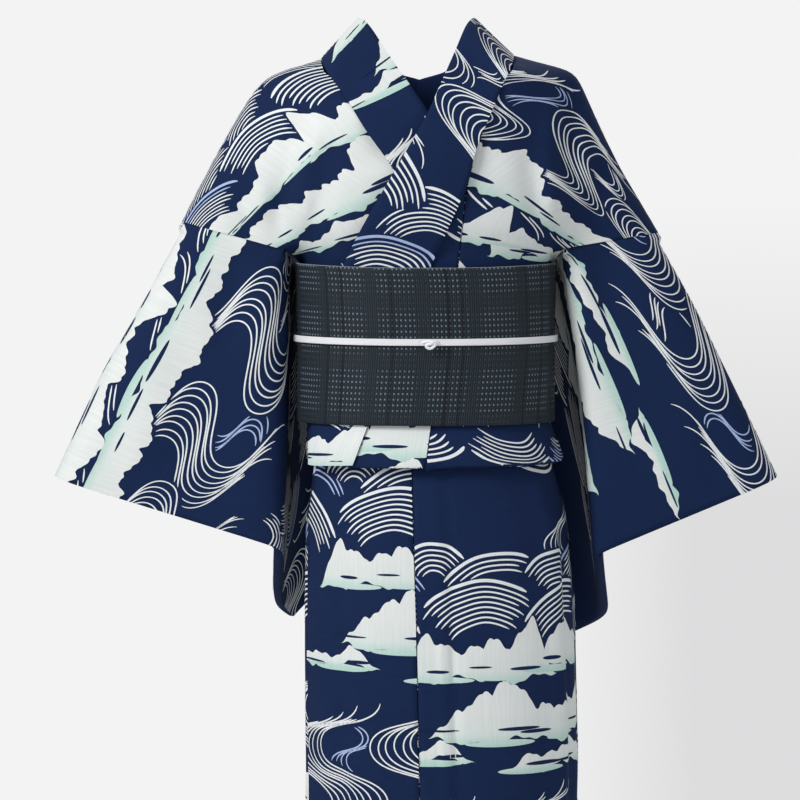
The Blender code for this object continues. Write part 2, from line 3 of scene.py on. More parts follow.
import bmesh
import bpy
import numpy as np
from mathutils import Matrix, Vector


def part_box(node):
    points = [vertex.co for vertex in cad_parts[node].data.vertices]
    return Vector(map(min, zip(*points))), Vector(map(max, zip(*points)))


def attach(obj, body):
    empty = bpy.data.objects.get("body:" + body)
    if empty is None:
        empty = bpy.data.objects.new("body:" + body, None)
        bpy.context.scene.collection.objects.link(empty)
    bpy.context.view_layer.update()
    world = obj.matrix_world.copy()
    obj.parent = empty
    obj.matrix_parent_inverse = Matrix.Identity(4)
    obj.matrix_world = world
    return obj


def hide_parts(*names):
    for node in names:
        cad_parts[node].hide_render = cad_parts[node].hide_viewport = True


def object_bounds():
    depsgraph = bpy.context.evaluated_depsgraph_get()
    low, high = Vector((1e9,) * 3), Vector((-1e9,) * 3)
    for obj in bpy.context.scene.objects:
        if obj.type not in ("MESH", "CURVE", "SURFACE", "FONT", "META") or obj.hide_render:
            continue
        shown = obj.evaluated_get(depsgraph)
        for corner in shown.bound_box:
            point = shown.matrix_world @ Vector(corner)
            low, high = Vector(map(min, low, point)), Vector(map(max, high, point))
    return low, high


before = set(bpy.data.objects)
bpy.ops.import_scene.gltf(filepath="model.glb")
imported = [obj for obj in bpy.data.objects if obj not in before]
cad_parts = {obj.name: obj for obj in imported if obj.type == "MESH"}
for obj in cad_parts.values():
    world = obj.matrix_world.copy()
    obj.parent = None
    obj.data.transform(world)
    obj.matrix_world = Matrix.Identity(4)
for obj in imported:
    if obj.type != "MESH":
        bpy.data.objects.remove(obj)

CAD_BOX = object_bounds()

# ---------------------------------------------------------------- sizes shared with the CAD
SHELL = 0.0007           # thickness of one cloth shell
GAP = 0.0005             # from a panel's edge to its seam
SIDE_GAP = 0.0012        # from the front or back to the middle plane at the sides
OBI_TOP_Z = -0.2233
OBI_BOTTOM_Z = -0.3955
OBI_TOP_DIP = 0.005
OBI_WALL = 0.0020
TUCK_Z = -0.4425
SKIRT_TOP_Z = -0.355
HEM_Z = -1.300
SLEEVE_WIDTH = 0.315
SLEEVE_DROP = 0.490
CUFF_OPENING = 0.230
SLEEVE_MOUTH_GAP = 0.010
SLEEVE_EDGE_GAP = 0.006
KNOT_WIDTH = 0.150
KNOT_DEPTH = 0.013
CORD_WIDTH = 0.0072
CORD_WALL = 0.0030
CORD_Z = -0.3050

# distance of each layer of cloth from the inner form
SKIRT_UNDER = 0
SKIRT_OVER = 0.0022
BODY_RIGHT = 0.0044
COLLAR_RIGHT = 0.0066
BODY_LEFT = 0.0095
COLLAR_LEFT = 0.0121
OBI_OFF = 0.0156
CORD_OFF = OBI_OFF + 0.5 * OBI_WALL + 0.5 * CORD_WALL + 0.0006
# further out over the chest, for each layer
CHEST_EASE = {BODY_RIGHT: 0, COLLAR_RIGHT: 0.0020, BODY_LEFT: 0.0033, COLLAR_LEFT: 0.0060}

# height, centre, half width, depth in front, depth behind
RINGS = (
    (0.04, 0, 0.172, 0.112, 0.104),
    (-0.12, 0.001, 0.168, 0.11, 0.104),
    (-0.18, 0.003, 0.15, 0.105, 0.101),
    (-0.205, 0.005, 0.1345, 0.1015, 0.098),
    (-0.223, 0.006, 0.1267, 0.1, 0.097),
    (-0.31, 0.006, 0.125, 0.099, 0.097),
    (-0.395, 0.006, 0.1255, 0.101, 0.103),
    (-0.42, 0.01, 0.1265, 0.103, 0.106),
    (-0.445, 0.014, 0.129, 0.106, 0.11),
    (-0.5, 0.017, 0.141, 0.115, 0.124),
    (-0.6, 0.021, 0.1445, 0.118, 0.13),
    (-0.78, 0.025, 0.147, 0.118, 0.13),
    (-1.3, 0.02, 0.143, 0.112, 0.12),
)
RING_POWER = 2.35        # how square the rings are
# the top of each shoulder and arm, from the neck to the cuff: x outwards, height
ARM_LINE = {
    1: ((0, 0.01), (0.101, 0.002), (0.15, -0.009), (0.17, -0.015), (0.178, -0.032),
        (0.198, -0.077), (0.22, -0.121), (0.241, -0.156), (0.261, -0.19), (0.304, -0.266),
        (0.348, -0.353), (0.398, -0.455)),
    -1: ((0, 0.006), (0.107, -0.002), (0.143, -0.011), (0.167, -0.02), (0.185, -0.039),
         (0.205, -0.073), (0.226, -0.11), (0.244, -0.144), (0.261, -0.178), (0.314, -0.273),
         (0.354, -0.339), (0.407, -0.455)),
}
SEAM_POINT = 8           # the point of the arm line at the sleeve's seam
SHOULDER_POWER = 3
SHOULDER_DROP = 0.150
# half thickness of the filled sleeve at a distance from the middle
ARM_RADIUS = ((0.10, 0.050), (0.18, 0.052), (0.26, 0.046), (0.41, 0.036))
# where the sleeve's front wall folds back, from its seam to the cuff: x outwards, height
SLEEVE_FOLD = {
    1: ((0.1545, -0.209), (0.16, -0.255), (0.1745, -0.354), (0.1805, -0.441), (0.1875, -0.541)),
    -1: ((0.146, -0.211), (0.1465, -0.3), (0.147, -0.4), (0.148, -0.48), (0.149, -0.533)),
}
# degrees that the cloth behind the front fold leans in, at once and a little further back
SLEEVE_LEAN = {1: 1, -1: 5}
BACK_LEAN = 10
# from the top of the sleeve down to its front fold, at the seam and at the cuff
FOLD_DEPTH = {1: (0.115, 0.235), -1: (0.120, 0.270)}
ON_BODY = -1             # in the collar's table: a depth to be worked out
COLLAR = {
    # seam x, depth y, height z, then free x, depth y, height z
    1: ((0, 0.096, -0.07, 0, 0.112, -0.016),
        (0.046, 0.082, -0.052, 0.036, 0.098, -0.004),
        (0.083, 0.045, -0.02, 0.058, 0.055, 0.024),
        (0.101, 0, 0.004, 0.0605, 0.004, 0.043),
        (0.095, ON_BODY, -0.018, 0.05, -0.034, 0.034),
        (0.084, ON_BODY, -0.042, 0.036, -0.066, 0.001),
        (0.058, ON_BODY, -0.104, 0.0078, ON_BODY, -0.064),
        (0.048, ON_BODY, -0.143, -0.012, ON_BODY, -0.1),
        (0.011, ON_BODY, -0.226, -0.0826, ON_BODY, -0.226),
        (-0.022, ON_BODY, -0.31, -0.101, ON_BODY, -0.31),
        (-0.056, ON_BODY, -0.396, -0.1185, ON_BODY, -0.399),
        (-0.072, ON_BODY, -0.438, -0.1205, ON_BODY, -0.441)),
    -1: ((0, 0.096, -0.07, 0, 0.112, -0.016),
         (0.05, 0.082, -0.052, 0.04, 0.098, -0.004),
         (0.09, 0.045, -0.022, 0.066, 0.055, 0.024),
         (0.107, 0, 0, 0.069, 0.002, 0.043),
         (0.101, ON_BODY, -0.018, 0.056, -0.034, 0.034),
         (0.081, ON_BODY, -0.046, 0.0295, -0.07, -0.008),
         (0.057, ON_BODY, -0.085, -0.0079, ON_BODY, -0.064),
         (0.027, ON_BODY, -0.127, -0.028, ON_BODY, -0.1),
         (-0.04, ON_BODY, -0.226, -0.1, ON_BODY, -0.226),
         (-0.052, ON_BODY, -0.31, -0.105, ON_BODY, -0.31),
         (-0.06, ON_BODY, -0.396, -0.11, ON_BODY, -0.399),
         (-0.066, ON_BODY, -0.438, -0.114, ON_BODY, -0.441)),
}
# the seam of the okumi on the body, from its point down: x, height
OKUMI_SEAM = {
    1: ((0.048, -0.143), (0.0392, -0.2273), (0.025, -0.31), (0.011, -0.396), (0.0044, -0.4425)),
    -1: ((0.0245, -0.131), (0.03, -0.2273), (0.023, -0.31), (0.011, -0.396), (0.0044, -0.4425)),
}
TUCK_EASE = {1: 0.0070, -1: 0.0045}    # room between the waist tuck and the skirt
TUCK_FOLD = 0.0024       # between the two walls of the tuck
LAP = 0.006              # how far the body and okumi run under the collar
NECK_GAP = 0.0022        # from the back neckline to the collar's seam
NECK_PLACE = 0.5 * (4 / 8) ** 1.35    # along a body panel: lowest point of the back neckline
POINT_PLACE = 0.5 * (6 / 8) ** 1.35   # upper point of the okumi
FOLD_PLACE = 0.5 * (7 / 8) ** 1.35    # front fold of the sleeve
# along a body panel below the waist: the fold of the tuck, and the cloth going back up inside it
TUCK_STOPS = [(0.9975, -0.5 * TUCK_FOLD), (0.995, -TUCK_FOLD), (0.97, -TUCK_FOLD), (0.9495, -TUCK_FOLD)]
BACK_OVERLAP = 0.0001    # how far each back runs past the centre-back seam
# flat width and length of the pieces, and how far down the cloth the point of the okumi is
BODY_FLAT = (0.35, 1.00)
OKUMI_FLAT = (0.12, 0.36)
OKUMI_START = 0.16
COLLAR_FLAT = 0.066      # width of the collar as worn
COLLAR_LAST = 11         # place of the last row of the collar's table
FIN_TURN = math.radians(78)    # how far the cloth behind the sleeve's front fold turns in
FIN_TURN_AT = 0.145
FIN_DRAW = 0.903         # how much of its drop that cloth reaches back
# the point that the camera and the lamps face
VIEW_MIDDLE = Vector((-0.022, 0, -0.374))
HIP_GIRTH = 0.890        # round the skirt, in which the panels below are measured
SKIRT_PANELS = {
    # name: start, end, layer at start, layer at end, metres round the hips from the front
    "skirt_okumi_left": (-0.176, -0.026, SKIRT_OVER, SKIRT_OVER),
    "skirt_front_left": (-0.026, 0.212, SKIRT_OVER, SKIRT_OVER),
    "skirt_back_left": (0.212, 0.445, SKIRT_OVER, SKIRT_UNDER),
    "skirt_back_right": (0.445, 0.672, SKIRT_UNDER, SKIRT_UNDER),
    "skirt_front_right": (0.672, 0.89, SKIRT_UNDER, SKIRT_UNDER),
    "skirt_okumi_right": (0.89, 1.036, SKIRT_UNDER, SKIRT_UNDER),
}


# ---------------------------------------------------------------- form of the robe
def smooth(low, high, value):
    """A smooth step from 0 at low to 1 at high; low may be the larger."""
    t = np.clip((value - low) / (high - low), 0, 1)
    return t * t * (3 - 2 * t)


def running(points):
    """Length along a line of points, from 0 at the first."""
    runs = np.linalg.norm(points[1:] - points[:-1], axis=1)
    return np.concatenate(([0], np.cumsum(runs)))


def along(points, share):
    """Point at a share of the length of a line through points."""
    points = np.asarray(points, dtype=float)
    marks = running(points)
    return np.array([np.interp(share, marks / marks[-1], points[:, k]) for k in range(2)])


def curve_through(rows, t):
    """Point at t, from 0 to 1, on a smooth curve through evenly counted rows."""
    rows = np.asarray(rows, dtype=float)
    last = len(rows) - 1
    place = min(max(t, 0), 1) * last
    i = min(int(place), last - 1)
    f = place - i
    a, b = rows[i], rows[i + 1]
    into = (b - rows[i - 1]) * 0.5 if i > 0 else b - a
    out = (rows[i + 2] - a) * 0.5 if i + 2 <= last else b - a
    return ((2 * f ** 3 - 3 * f ** 2 + 1) * a + (f ** 3 - 2 * f ** 2 + f) * into
            + (3 * f ** 2 - 2 * f ** 3) * b + (f ** 3 - f ** 2) * out)


def softened_rings():
    """The ring table at every 5 mm of height, with its corners rounded off."""
    table = np.array(RINGS)[::-1]
    heights = np.arange(-1.40, 0.101, 0.005)
    reach = np.exp(-(np.arange(-6, 7) / 2.6) ** 2)
    columns = [heights]
    for k in (1, 2, 3, 4):
        values = np.pad(np.interp(heights, table[:, 0], table[:, k]), 6, mode="edge")
        columns.append(np.convolve(values, reach / reach.sum(), mode="valid"))
    return np.array(columns)


SOFT_RINGS = softened_rings()


def ring_at(z):
    """Centre, half width, front depth and back depth of the body at height z."""
    return [np.interp(z, SOFT_RINGS[0], SOFT_RINGS[k]) for k in (1, 2, 3, 4)]


def ring_point(angle, z, off):
    """Point on the ring at height z. Angle 0 is the front and a quarter turn is +X."""
    cx, half, front, back = ring_at(z)
    s, c = math.sin(angle), math.cos(angle)
    depth = front if c > 0 else back
    x = cx + (half + off) * math.copysign(abs(s) ** (2 / RING_POWER), s)
    y = -(depth + off) * math.copysign(abs(c) ** (2 / RING_POWER), c)
    return np.array((x, y, z))


# angles round a hip ring, and the share of its girth that each one marks
RING_ANGLES = np.linspace(0, 2 * math.pi, 721)
RING_MARKS = running(np.array([ring_point(a, -0.600, 0) for a in RING_ANGLES]))
RING_MARKS = RING_MARKS / RING_MARKS[-1]


def arm_distance(x, z):
    """Distance in the frontal plane from a point to the shoulder and arm line."""
    line = np.array(ARM_LINE[1 if x >= 0 else -1])
    a, run = line[:-1], line[1:] - line[:-1]
    spot = np.array([abs(x), z])
    t = np.clip(((spot - a) * run).sum(1) / (run * run).sum(1), 0, 1)
    return np.hypot(*(a + t[:, None] * run - spot).T).min()


def round_over(share):
    """Quarter of a circle: 0 at the line, 1 from a share of 1 on."""
    return math.sqrt(1 - (1 - min(max(share, 0), 1)) ** 2)


def torso_depth(x, z, off, behind):
    """Depth of the torso under a point of the frontal plane."""
    cx, half, front, back = ring_at(z)
    line = np.array(ARM_LINE[1 if x >= 0 else -1])[:5]
    top = np.interp(abs(x), line[:, 0], line[:, 1])
    share = abs(x - cx) / (half + off)
    if share >= 1:
        return 0
    depth = (back if behind else front) + off
    depth = depth * (1 - share ** RING_POWER) ** (1 / RING_POWER)
    return depth * round_over((top - z + off) / SHOULDER_DROP)


def cloth_y(x, z, off, behind=False, arm=1):
    """Front or back of the robe over a point of the frontal plane."""
    r = np.interp(abs(x), *np.array(ARM_RADIUS).T) * (0.85 if behind else 1) + off
    far = arm_distance(x, z)
    sleeve = arm * r * round_over((far + off) / r)
    if behind:
        sleeve = sleeve * (1 - smooth(0.06, 0.17, far))
    torso = torso_depth(x, z, off, behind)
    depth = (torso ** SHOULDER_POWER + sleeve ** SHOULDER_POWER) ** (1 / SHOULDER_POWER)
    return depth if behind else -depth


def tuck_ease(side, z):
    """Extra room between the waist tuck and the skirt."""
    return TUCK_EASE[side] * smooth(-0.397, -0.425, z)


def layer_off(layer, z):
    """Distance of a cloth layer from the inner form at height z."""
    side = 1 if layer >= BODY_LEFT else -1
    return layer + CHEST_EASE[layer] * smooth(-0.222, -0.190, z) + tuck_ease(side, z)


def lying_y(x, z, layer):
    """Depth of a cloth layer that lies on the front of the body."""
    return cloth_y(x, z, layer_off(layer, z), False, smooth(OBI_TOP_Z, OBI_TOP_Z + 0.03, z))


def collar_rows(side):
    """The collar's table with a depth worked out wherever an edge lies on the body."""
    layer = COLLAR_LEFT if side > 0 else COLLAR_RIGHT
    rows = [list(row) for row in COLLAR[side]]
    for row in rows:
        for k in (0, 3):
            if row[k + 1] == ON_BODY:
                row[k + 1] = lying_y(side * row[k], row[k + 2], layer)
    return rows


COLLAR_ROWS = {side: collar_rows(side) for side in (1, -1)}


def collar_edge(side, place, free=False):
    """Seam edge or free edge of half the collar at a place in its table, in its side's sense."""
    row = curve_through(COLLAR_ROWS[side], place / COLLAR_LAST)
    return row[3:6] if free else row[0:3]


def collar_seam_rows(side):
    """The collar's seam from the shoulder to the point of the okumi, moved in by the lap."""
    rows = []
    for place in (3, 4, 5, 5.6):
        seam = collar_edge(side, place)[[0, 2]]
        free = collar_edge(side, place, True)[[0, 2]]
        lap = -NECK_GAP + (LAP + NECK_GAP) * smooth(4, 5, place)
        rows.append(seam + (free - seam) * lap / 0.062)
    return rows


SEAM_ROWS = {side: collar_seam_rows(side) for side in (1, -1)}
NECK_LINE = {side: [SEAM_ROWS[side][0]] + [collar_edge(side, k)[[0, 2]] for k in (2, 1, 0)]
             for side in (1, -1)}


def body_edges(side, v, behind, shift=0):
    """Inner and outer edge of a body panel in the frontal plane, v from 0 (shoulder) to 1."""
    seam_top = np.array(ARM_LINE[side][SEAM_POINT])
    fold_top = np.array(SLEEVE_FOLD[side][0]) + np.array([-0.0020, 0.0012])
    cx, half, _, _ = ring_at(OBI_TOP_Z)
    off = BODY_LEFT if side > 0 else BODY_RIGHT
    under = np.array([side * cx + half + off, OBI_TOP_Z - 0.004])
    if v <= FOLD_PLACE:
        outer = seam_top + (fold_top - seam_top) * v / FOLD_PLACE
    elif v <= 0.5:
        outer = fold_top + (under - fold_top) * (v - FOLD_PLACE) / (0.5 - FOLD_PLACE)
    else:
        z = under[1] + (TUCK_Z - under[1]) * (v - 0.5) / 0.5
        cx, half, _, _ = ring_at(z)
        outer = np.array([side * cx + half + off + tuck_ease(side, z) + shift, z])
    if behind and v <= NECK_PLACE:
        inner = along(NECK_LINE[side], v / NECK_PLACE) - np.array([0, NECK_GAP * smooth(0, 0.05, v)])
    elif behind and v <= 0.5:
        low = NECK_LINE[side][-1]
        share = (v - NECK_PLACE) / (0.5 - NECK_PLACE)
        inner = low + (np.array([0, under[1]]) - low) * share - np.array([0, NECK_GAP * (1 - share)])
    elif behind:
        inner = np.array([0, outer[1]])
    else:
        seam = np.array(OKUMI_SEAM[side])
        if v <= POINT_PLACE:
            inner = along(SEAM_ROWS[side] + [seam[0]], v / POINT_PLACE)
        elif v <= 0.5:
            inner = seam[0] + (seam[1] - seam[0]) * (v - POINT_PLACE) / (0.5 - POINT_PLACE)
        else:
            inner = np.array([np.interp(-outer[1], -seam[:, 1], seam[:, 0]), outer[1]])
    return inner + np.array([GAP, 0]), outer


def body_point(side, u, v, behind, layer, shift=0):
    """Point of a body panel: u from the middle to the side, v from the shoulder down."""
    inner, outer = body_edges(side, v, behind, shift)
    spread = u + (math.sin(u * math.pi / 2) - u) * smooth(0.30, 0.5, v) * 0.95
    flat = inner + (outer - inner) * spread
    if v < 0.5:
        line = np.array(ARM_LINE[side])[1:SEAM_POINT + 1]
        top_inner, top_outer = body_edges(side, 0, behind)
        line[0] = top_inner
        flat = flat + (along(line, u) - top_inner - (top_outer - top_inner) * u) * (1 - 2 * v) ** 2
    x, z = side * flat[0], flat[1]
    if v == 0:
        return (x, 0, z)
    shoulder = smooth(0, 0.3, v) * (1 - smooth(0.55, 1, u) * smooth(0.5, 0.4, v))
    way = 1 if behind else -1
    y = cloth_y(x, z, layer_off(layer, z) * shoulder + shift, behind, smooth(0.5, 0.4, v))
    return (x, way * max(way * y, SIDE_GAP), z)


def fin_path(lean, back_lean):
    """The cloth behind the front fold, seen from above: inward run, backward run, heading."""
    steps = np.linspace(0, 0.40, 161)
    heading = lean + back_lean * smooth(0.04, 0.09, steps)
    heading = heading + (FIN_TURN - back_lean) * smooth(FIN_TURN_AT, FIN_TURN_AT + 0.10, steps)
    inward = np.concatenate(([0], np.cumsum(np.sin(heading[:-1]) * steps[1])))
    back = np.concatenate(([0], np.cumsum(np.cos(heading[:-1]) * steps[1])))
    return steps, inward, back, heading


def sleeve_point(side, a, t, behind):
    """Point of a sleeve: a from the seam to the cuff, t down one wall from the top fold."""
    share = a / SLEEVE_WIDTH
    top = along(ARM_LINE[side][SEAM_POINT:], share)
    fold = curve_through(SLEEVE_FOLD[side], share)
    turn = FOLD_DEPTH[side][0] + (FOLD_DEPTH[side][1] - FOLD_DEPTH[side][0]) * share
    gap = SLEEVE_MOUTH_GAP + (SLEEVE_EDGE_GAP - SLEEVE_MOUTH_GAP) * smooth(0.38, SLEEVE_DROP, t)
    close = smooth(0, 0.08, a)
    if t <= turn:
        flat = top + (fold - top) * t / turn
        x, z = side * flat[0], flat[1]
        y = cloth_y(x, z, 0)
        if behind:
            y_arm = cloth_y(x, z, 0, True)
            y = y_arm + (y + gap - y_arm) * close * smooth(0.05, 0.15, arm_distance(x, z))
        return (x, y if t > 0 else 0, z)
    fold_y = cloth_y(side * fold[0], fold[1], 0)
    back_fold_y = cloth_y(side * fold[0], fold[1], 0, True)
    back_fold_y = back_fold_y + (fold_y + gap - back_fold_y) * close
    lean = math.radians(SLEEVE_LEAN[side] - 8 * share)
    steps, inward, back, heading = fin_path(lean, math.radians(BACK_LEAN) * (1 - share))
    reach = (t - turn) * FIN_DRAW
    if behind:
        start = back_fold_y - fold_y - gap
        whole = (SLEEVE_DROP - turn) * FIN_DRAW
        reach = start + (whole - start) * (t - turn) / (SLEEVE_DROP - turn)
    reach = reach * (1 - 0.26 * (1 - share) * smooth(0.05, 0.33, reach))
    x = fold[0] - np.interp(reach, steps, inward)
    y = fold_y + np.interp(reach, steps, back)
    if behind:
        way = np.interp(reach, steps, heading)
        x = x + gap * math.cos(way)
        y = y + gap * math.sin(way)
    level = 0.34 * (1 - share) ** 3 * (1 - smooth(0.06, 0.37, t - turn))
    return (side * x, y, fold[1] - (t - turn) * (0.47 - 0.02 * share - level))


# ---------------------------------------------------------------- creases
CREASE_GAIN = 2.5
# creases across the front and back of the bodice: ends in the frontal plane, width, height
CHEST_CREASES = (
    # x, z, x, z, width, height (below 0 a trough)
    (-0.128, -0.055, -0.15, -0.19, 0.009, -0.0042),
    (-0.112, -0.07, -0.136, -0.2, 0.01, 0.0034),
    (-0.092, -0.09, -0.12, -0.205, 0.008, -0.0022),
    (-0.168, -0.09, -0.172, -0.185, 0.01, 0.003),
    (-0.2, -0.12, -0.18, -0.195, 0.009, -0.0026),
    (0.16, -0.03, 0.152, -0.15, 0.01, -0.0062),
    (0.142, -0.05, 0.146, -0.19, 0.011, 0.0042),
    (0.178, -0.075, 0.17, -0.18, 0.011, 0.0036),
    (0.2, -0.11, 0.182, -0.19, 0.008, -0.003),
    (0.112, -0.1, 0.126, -0.2, 0.01, -0.0024),
)
BACK_CREASES = (
    (-0.13, -0.05, -0.15, -0.19, 0.011, -0.0036),
    (-0.108, -0.08, -0.128, -0.205, 0.01, 0.0028),
    (0.136, -0.05, 0.15, -0.185, 0.011, -0.004),
    (0.112, -0.075, 0.126, -0.2, 0.012, 0.0026),
    (0.02, -0.11, 0.034, -0.205, 0.014, 0.0016),
)
# creases of the sleeves: across (from the seam), down (from the top fold), then the other end
SLEEVE_CREASES = {
    1: ((0, 0.075, 0.12, 0.11, 0.012, -0.004), (0, 0.105, 0.16, 0.165, 0.014, 0.0034),
        (0.04, 0.15, 0.24, 0.235, 0.012, -0.0024), (0.15, 0.05, 0.3, 0.12, 0.02, 0.003),
        (0.02, 0.24, 0.11, 0.33, 0.016, -0.0022), (0.18, 0.3, 0.3, 0.39, 0.018, 0.0022)),
    -1: ((0, 0.07, 0.13, 0.115, 0.013, -0.0036), (0, 0.1, 0.11, 0.15, 0.012, 0.0032),
         (0.06, 0.16, 0.27, 0.25, 0.015, -0.0022), (0.12, 0.04, 0.3, 0.09, 0.02, 0.003),
         (0.03, 0.26, 0.13, 0.35, 0.015, -0.0022), (0.17, 0.31, 0.3, 0.38, 0.018, 0.002)),
}
# creases of the skirt: metres round the hips, height, and the other end
SKIRT_CREASES = (
    (0.01, -0.45, 0.016, -0.96, 0.006, -0.0016),
    (0.002, -0.45, 0.006, -1, 0.01, 0.0009),
    (0.13, -0.44, 0.15, -0.8, 0.016, 0.0022),
    (0.165, -0.5, 0.175, -1.15, 0.014, -0.002),
    (0.26, -0.45, 0.275, -1.28, 0.022, 0.004),
    (0.31, -0.48, 0.32, -1.29, 0.02, -0.0034),
    (0.38, -0.44, 0.372, -1.2, 0.024, 0.0036),
    (0.47, -0.46, 0.48, -1.29, 0.022, -0.003),
    (0.54, -0.45, 0.548, -1.29, 0.022, 0.004),
    (0.61, -0.45, 0.6, -1.25, 0.018, -0.003),
    (0.7, -0.5, 0.704, -1.25, 0.016, 0.002),
    (0.77, -0.47, 0.78, -1, 0.014, -0.0014),
)


def crease_height(table, x, y):
    """Height of the creases in a table at points x, y: soft ridges that die away at both ends."""
    total = np.zeros_like(x)
    for x0, y0, x1, y1, width, height in table:
        run = np.array([x1 - x0, y1 - y0])
        length = np.hypot(*run)
        t = ((x - x0) * run[0] + (y - y0) * run[1]) / length ** 2
        away = ((x - x0) * run[1] - (y - y0) * run[0]) / length
        away = away + 0.12 * width * np.sin(t * 7 + x0 * 90)
        ends = smooth(-0.12, 0.22, t) * smooth(1.12, 0.70, t)
        total = total + CREASE_GAIN * height * np.exp(-(away / width) ** 2) * ends
    return total


# ---------------------------------------------------------------- panels as grids
class Panel:
    """A grid of points with the flat place of each: rows run down the cloth, columns across."""

    def __init__(self, name, points, rows_at, width, at, way=(0, -1, 0), anchor="start"):
        self.name = name
        self.points = np.array(points, dtype=float)
        self.rows_at = np.array(rows_at, dtype=float)
        self.width = width
        self.anchor = anchor
        self.row_width = np.linalg.norm(self.points[:, 1:] - self.points[:, :-1], axis=2).sum(1)
        self.at = at
        self.way = way

    def soften(self, passes):
        """Round off corners left by the tables, keeping the edges of the panel in place."""
        for _ in range(passes):
            p = self.points
            q = p.copy()
            q[1:-1] = p[1:-1] * 0.5 + (p[2:] + p[:-2]) * 0.25
            self.points = q.copy()
            self.points[:, 1:-1] = q[:, 1:-1] * 0.5 + (q[:, 2:] + q[:, :-2]) * 0.25
        return self

    def finish(self):
        """Work out the normals; at one point they must face the given way, out of the robe."""
        n = np.cross(np.gradient(self.points, axis=0), np.gradient(self.points, axis=1))
        n = n / np.maximum(np.linalg.norm(n, axis=2), 1e-12)[..., None]
        self.turned = np.dot(n[self.at], self.way) < 0
        self.normals = -n if self.turned else n
        return self

    def flat_x(self, u, width):
        """Flat place across for a share u of a row as wide as width."""
        return u * width if self.anchor == "start" else self.width - (1 - u) * width

    def place(self, x, y):
        """Points and normals over flat places, and which of them lie on the panel."""
        order = np.argsort(self.rows_at)
        r = np.interp(y, self.rows_at[order], order.astype(float))
        i = np.clip(r.astype(int), 0, len(self.rows_at) - 2)
        f = r - i
        width = self.row_width[i] * (1 - f) + self.row_width[i + 1] * f
        u = x / width if self.anchor == "start" else 1 - (self.width - x) / width
        low, high = self.rows_at.min() - PRINT_SLACK, self.rows_at.max() + PRINT_SLACK
        slack = PRINT_SLACK / width
        inside = (u > -slack) & (u < 1 + slack) & (y > low) & (y < high)
        c = np.clip(u, 0, 1) * (self.points.shape[1] - 1)
        j = np.clip(c.astype(int), 0, self.points.shape[1] - 2)
        g = (c - j)[:, None]
        f = f[:, None]
        points, normals = [(a[i, j] * (1 - g) + a[i, j + 1] * g) * (1 - f)
                           + (a[i + 1, j] * (1 - g) + a[i + 1, j + 1] * g) * f
                           for a in (self.points, self.normals)]
        return points, normals, inside


def rows_length(points):
    """Length down the middle column of a grid, from its first row."""
    return running(points[:, points.shape[1] // 2])


def creased(points, table, way):
    """Push the creases of the bodice out of a grid, backwards or (way below 0) forwards."""
    points = np.array(points)
    points[..., 1] += way * crease_height(table, points[..., 0], points[..., 2])
    return points


def seam_depth(side, z, behind):
    """Depth of the collar's seam edge at a height, before or behind the shoulder."""
    places = np.linspace(0, 3, 40) if behind else np.linspace(3, 5.6, 40)
    line = np.array([collar_edge(side, place) for place in places])
    order = np.argsort(line[:, 2])
    return np.interp(z, line[order, 2], line[order, 1])


def meet_edges(grid, side, stops, behind):
    """Draw a body panel's inner edge to the collar's seam, and the two backs to one depth."""
    last = NECK_PLACE if behind else POINT_PLACE
    under_collar = -0.0016 if behind else 0.0016
    fading = 1 - smooth(0, 0.30, np.linspace(0, 1, grid.shape[1]))
    for row, (v, shift) in zip(grid, stops):
        z = row[0, 2]
        if v == 0 or (v > last and not behind):
            continue
        share = 1
        if v <= last:
            target = seam_depth(side, z, behind) + under_collar
            share = smooth(0, 0.04, v) * (1 if behind else smooth(last, 0.75 * last, v))
        else:
            off = 0.5 * (layer_off(BODY_LEFT, z) + layer_off(BODY_RIGHT, z)) + shift
            target = max(cloth_y(0, z, off, True, smooth(0.5, 0.4, v)), SIDE_GAP)
        row[:, 1] += (target - row[0, 1]) * share * fading
    return grid


def body_panel(side, name, layer):
    """A body length: front from the waist tuck up, over the shoulder and down the back."""
    upper = [0.5 * (k / 44) ** 1.5 for k in range(45)]
    lower = list(np.linspace(0.5, 1, 21))[1:]
    stops = [(v, 0) for v in upper + lower] + TUCK_STOPS
    walls = []
    for behind, table, way in ((False, CHEST_CREASES, -1), (True, BACK_CREASES, 1)):
        grid = [[body_point(side, u, v, behind, layer, s) for u in np.linspace(0, 1, 37)]
                for v, s in stops]
        walls.append(meet_edges(creased(grid, table, way), side, stops, behind))
    front, back = walls
    points = np.vstack([back[::-1], front[1:]])
    rows_at = np.concatenate([-rows_length(back)[::-1], rows_length(front)[1:]])
    middle = len(stops) - 1
    panel = Panel(name, points, rows_at, BODY_FLAT[0], (middle + 30, 18), anchor="end")
    # the inner edge keeps its line through the softening, and the two backs meet in a seam
    edge = panel.points[:, 0].copy()
    meets = (np.arange(len(edge)) < middle) & (np.abs(edge[:, 0]) < 0.003)
    edge[meets, 0] = -side * BACK_OVERLAP
    panel.soften(3)
    drawn = edge - panel.points[:, 0]
    for column in range(5):
        panel.points[:, column] += drawn * (1 - column / 5)
    return panel.finish()


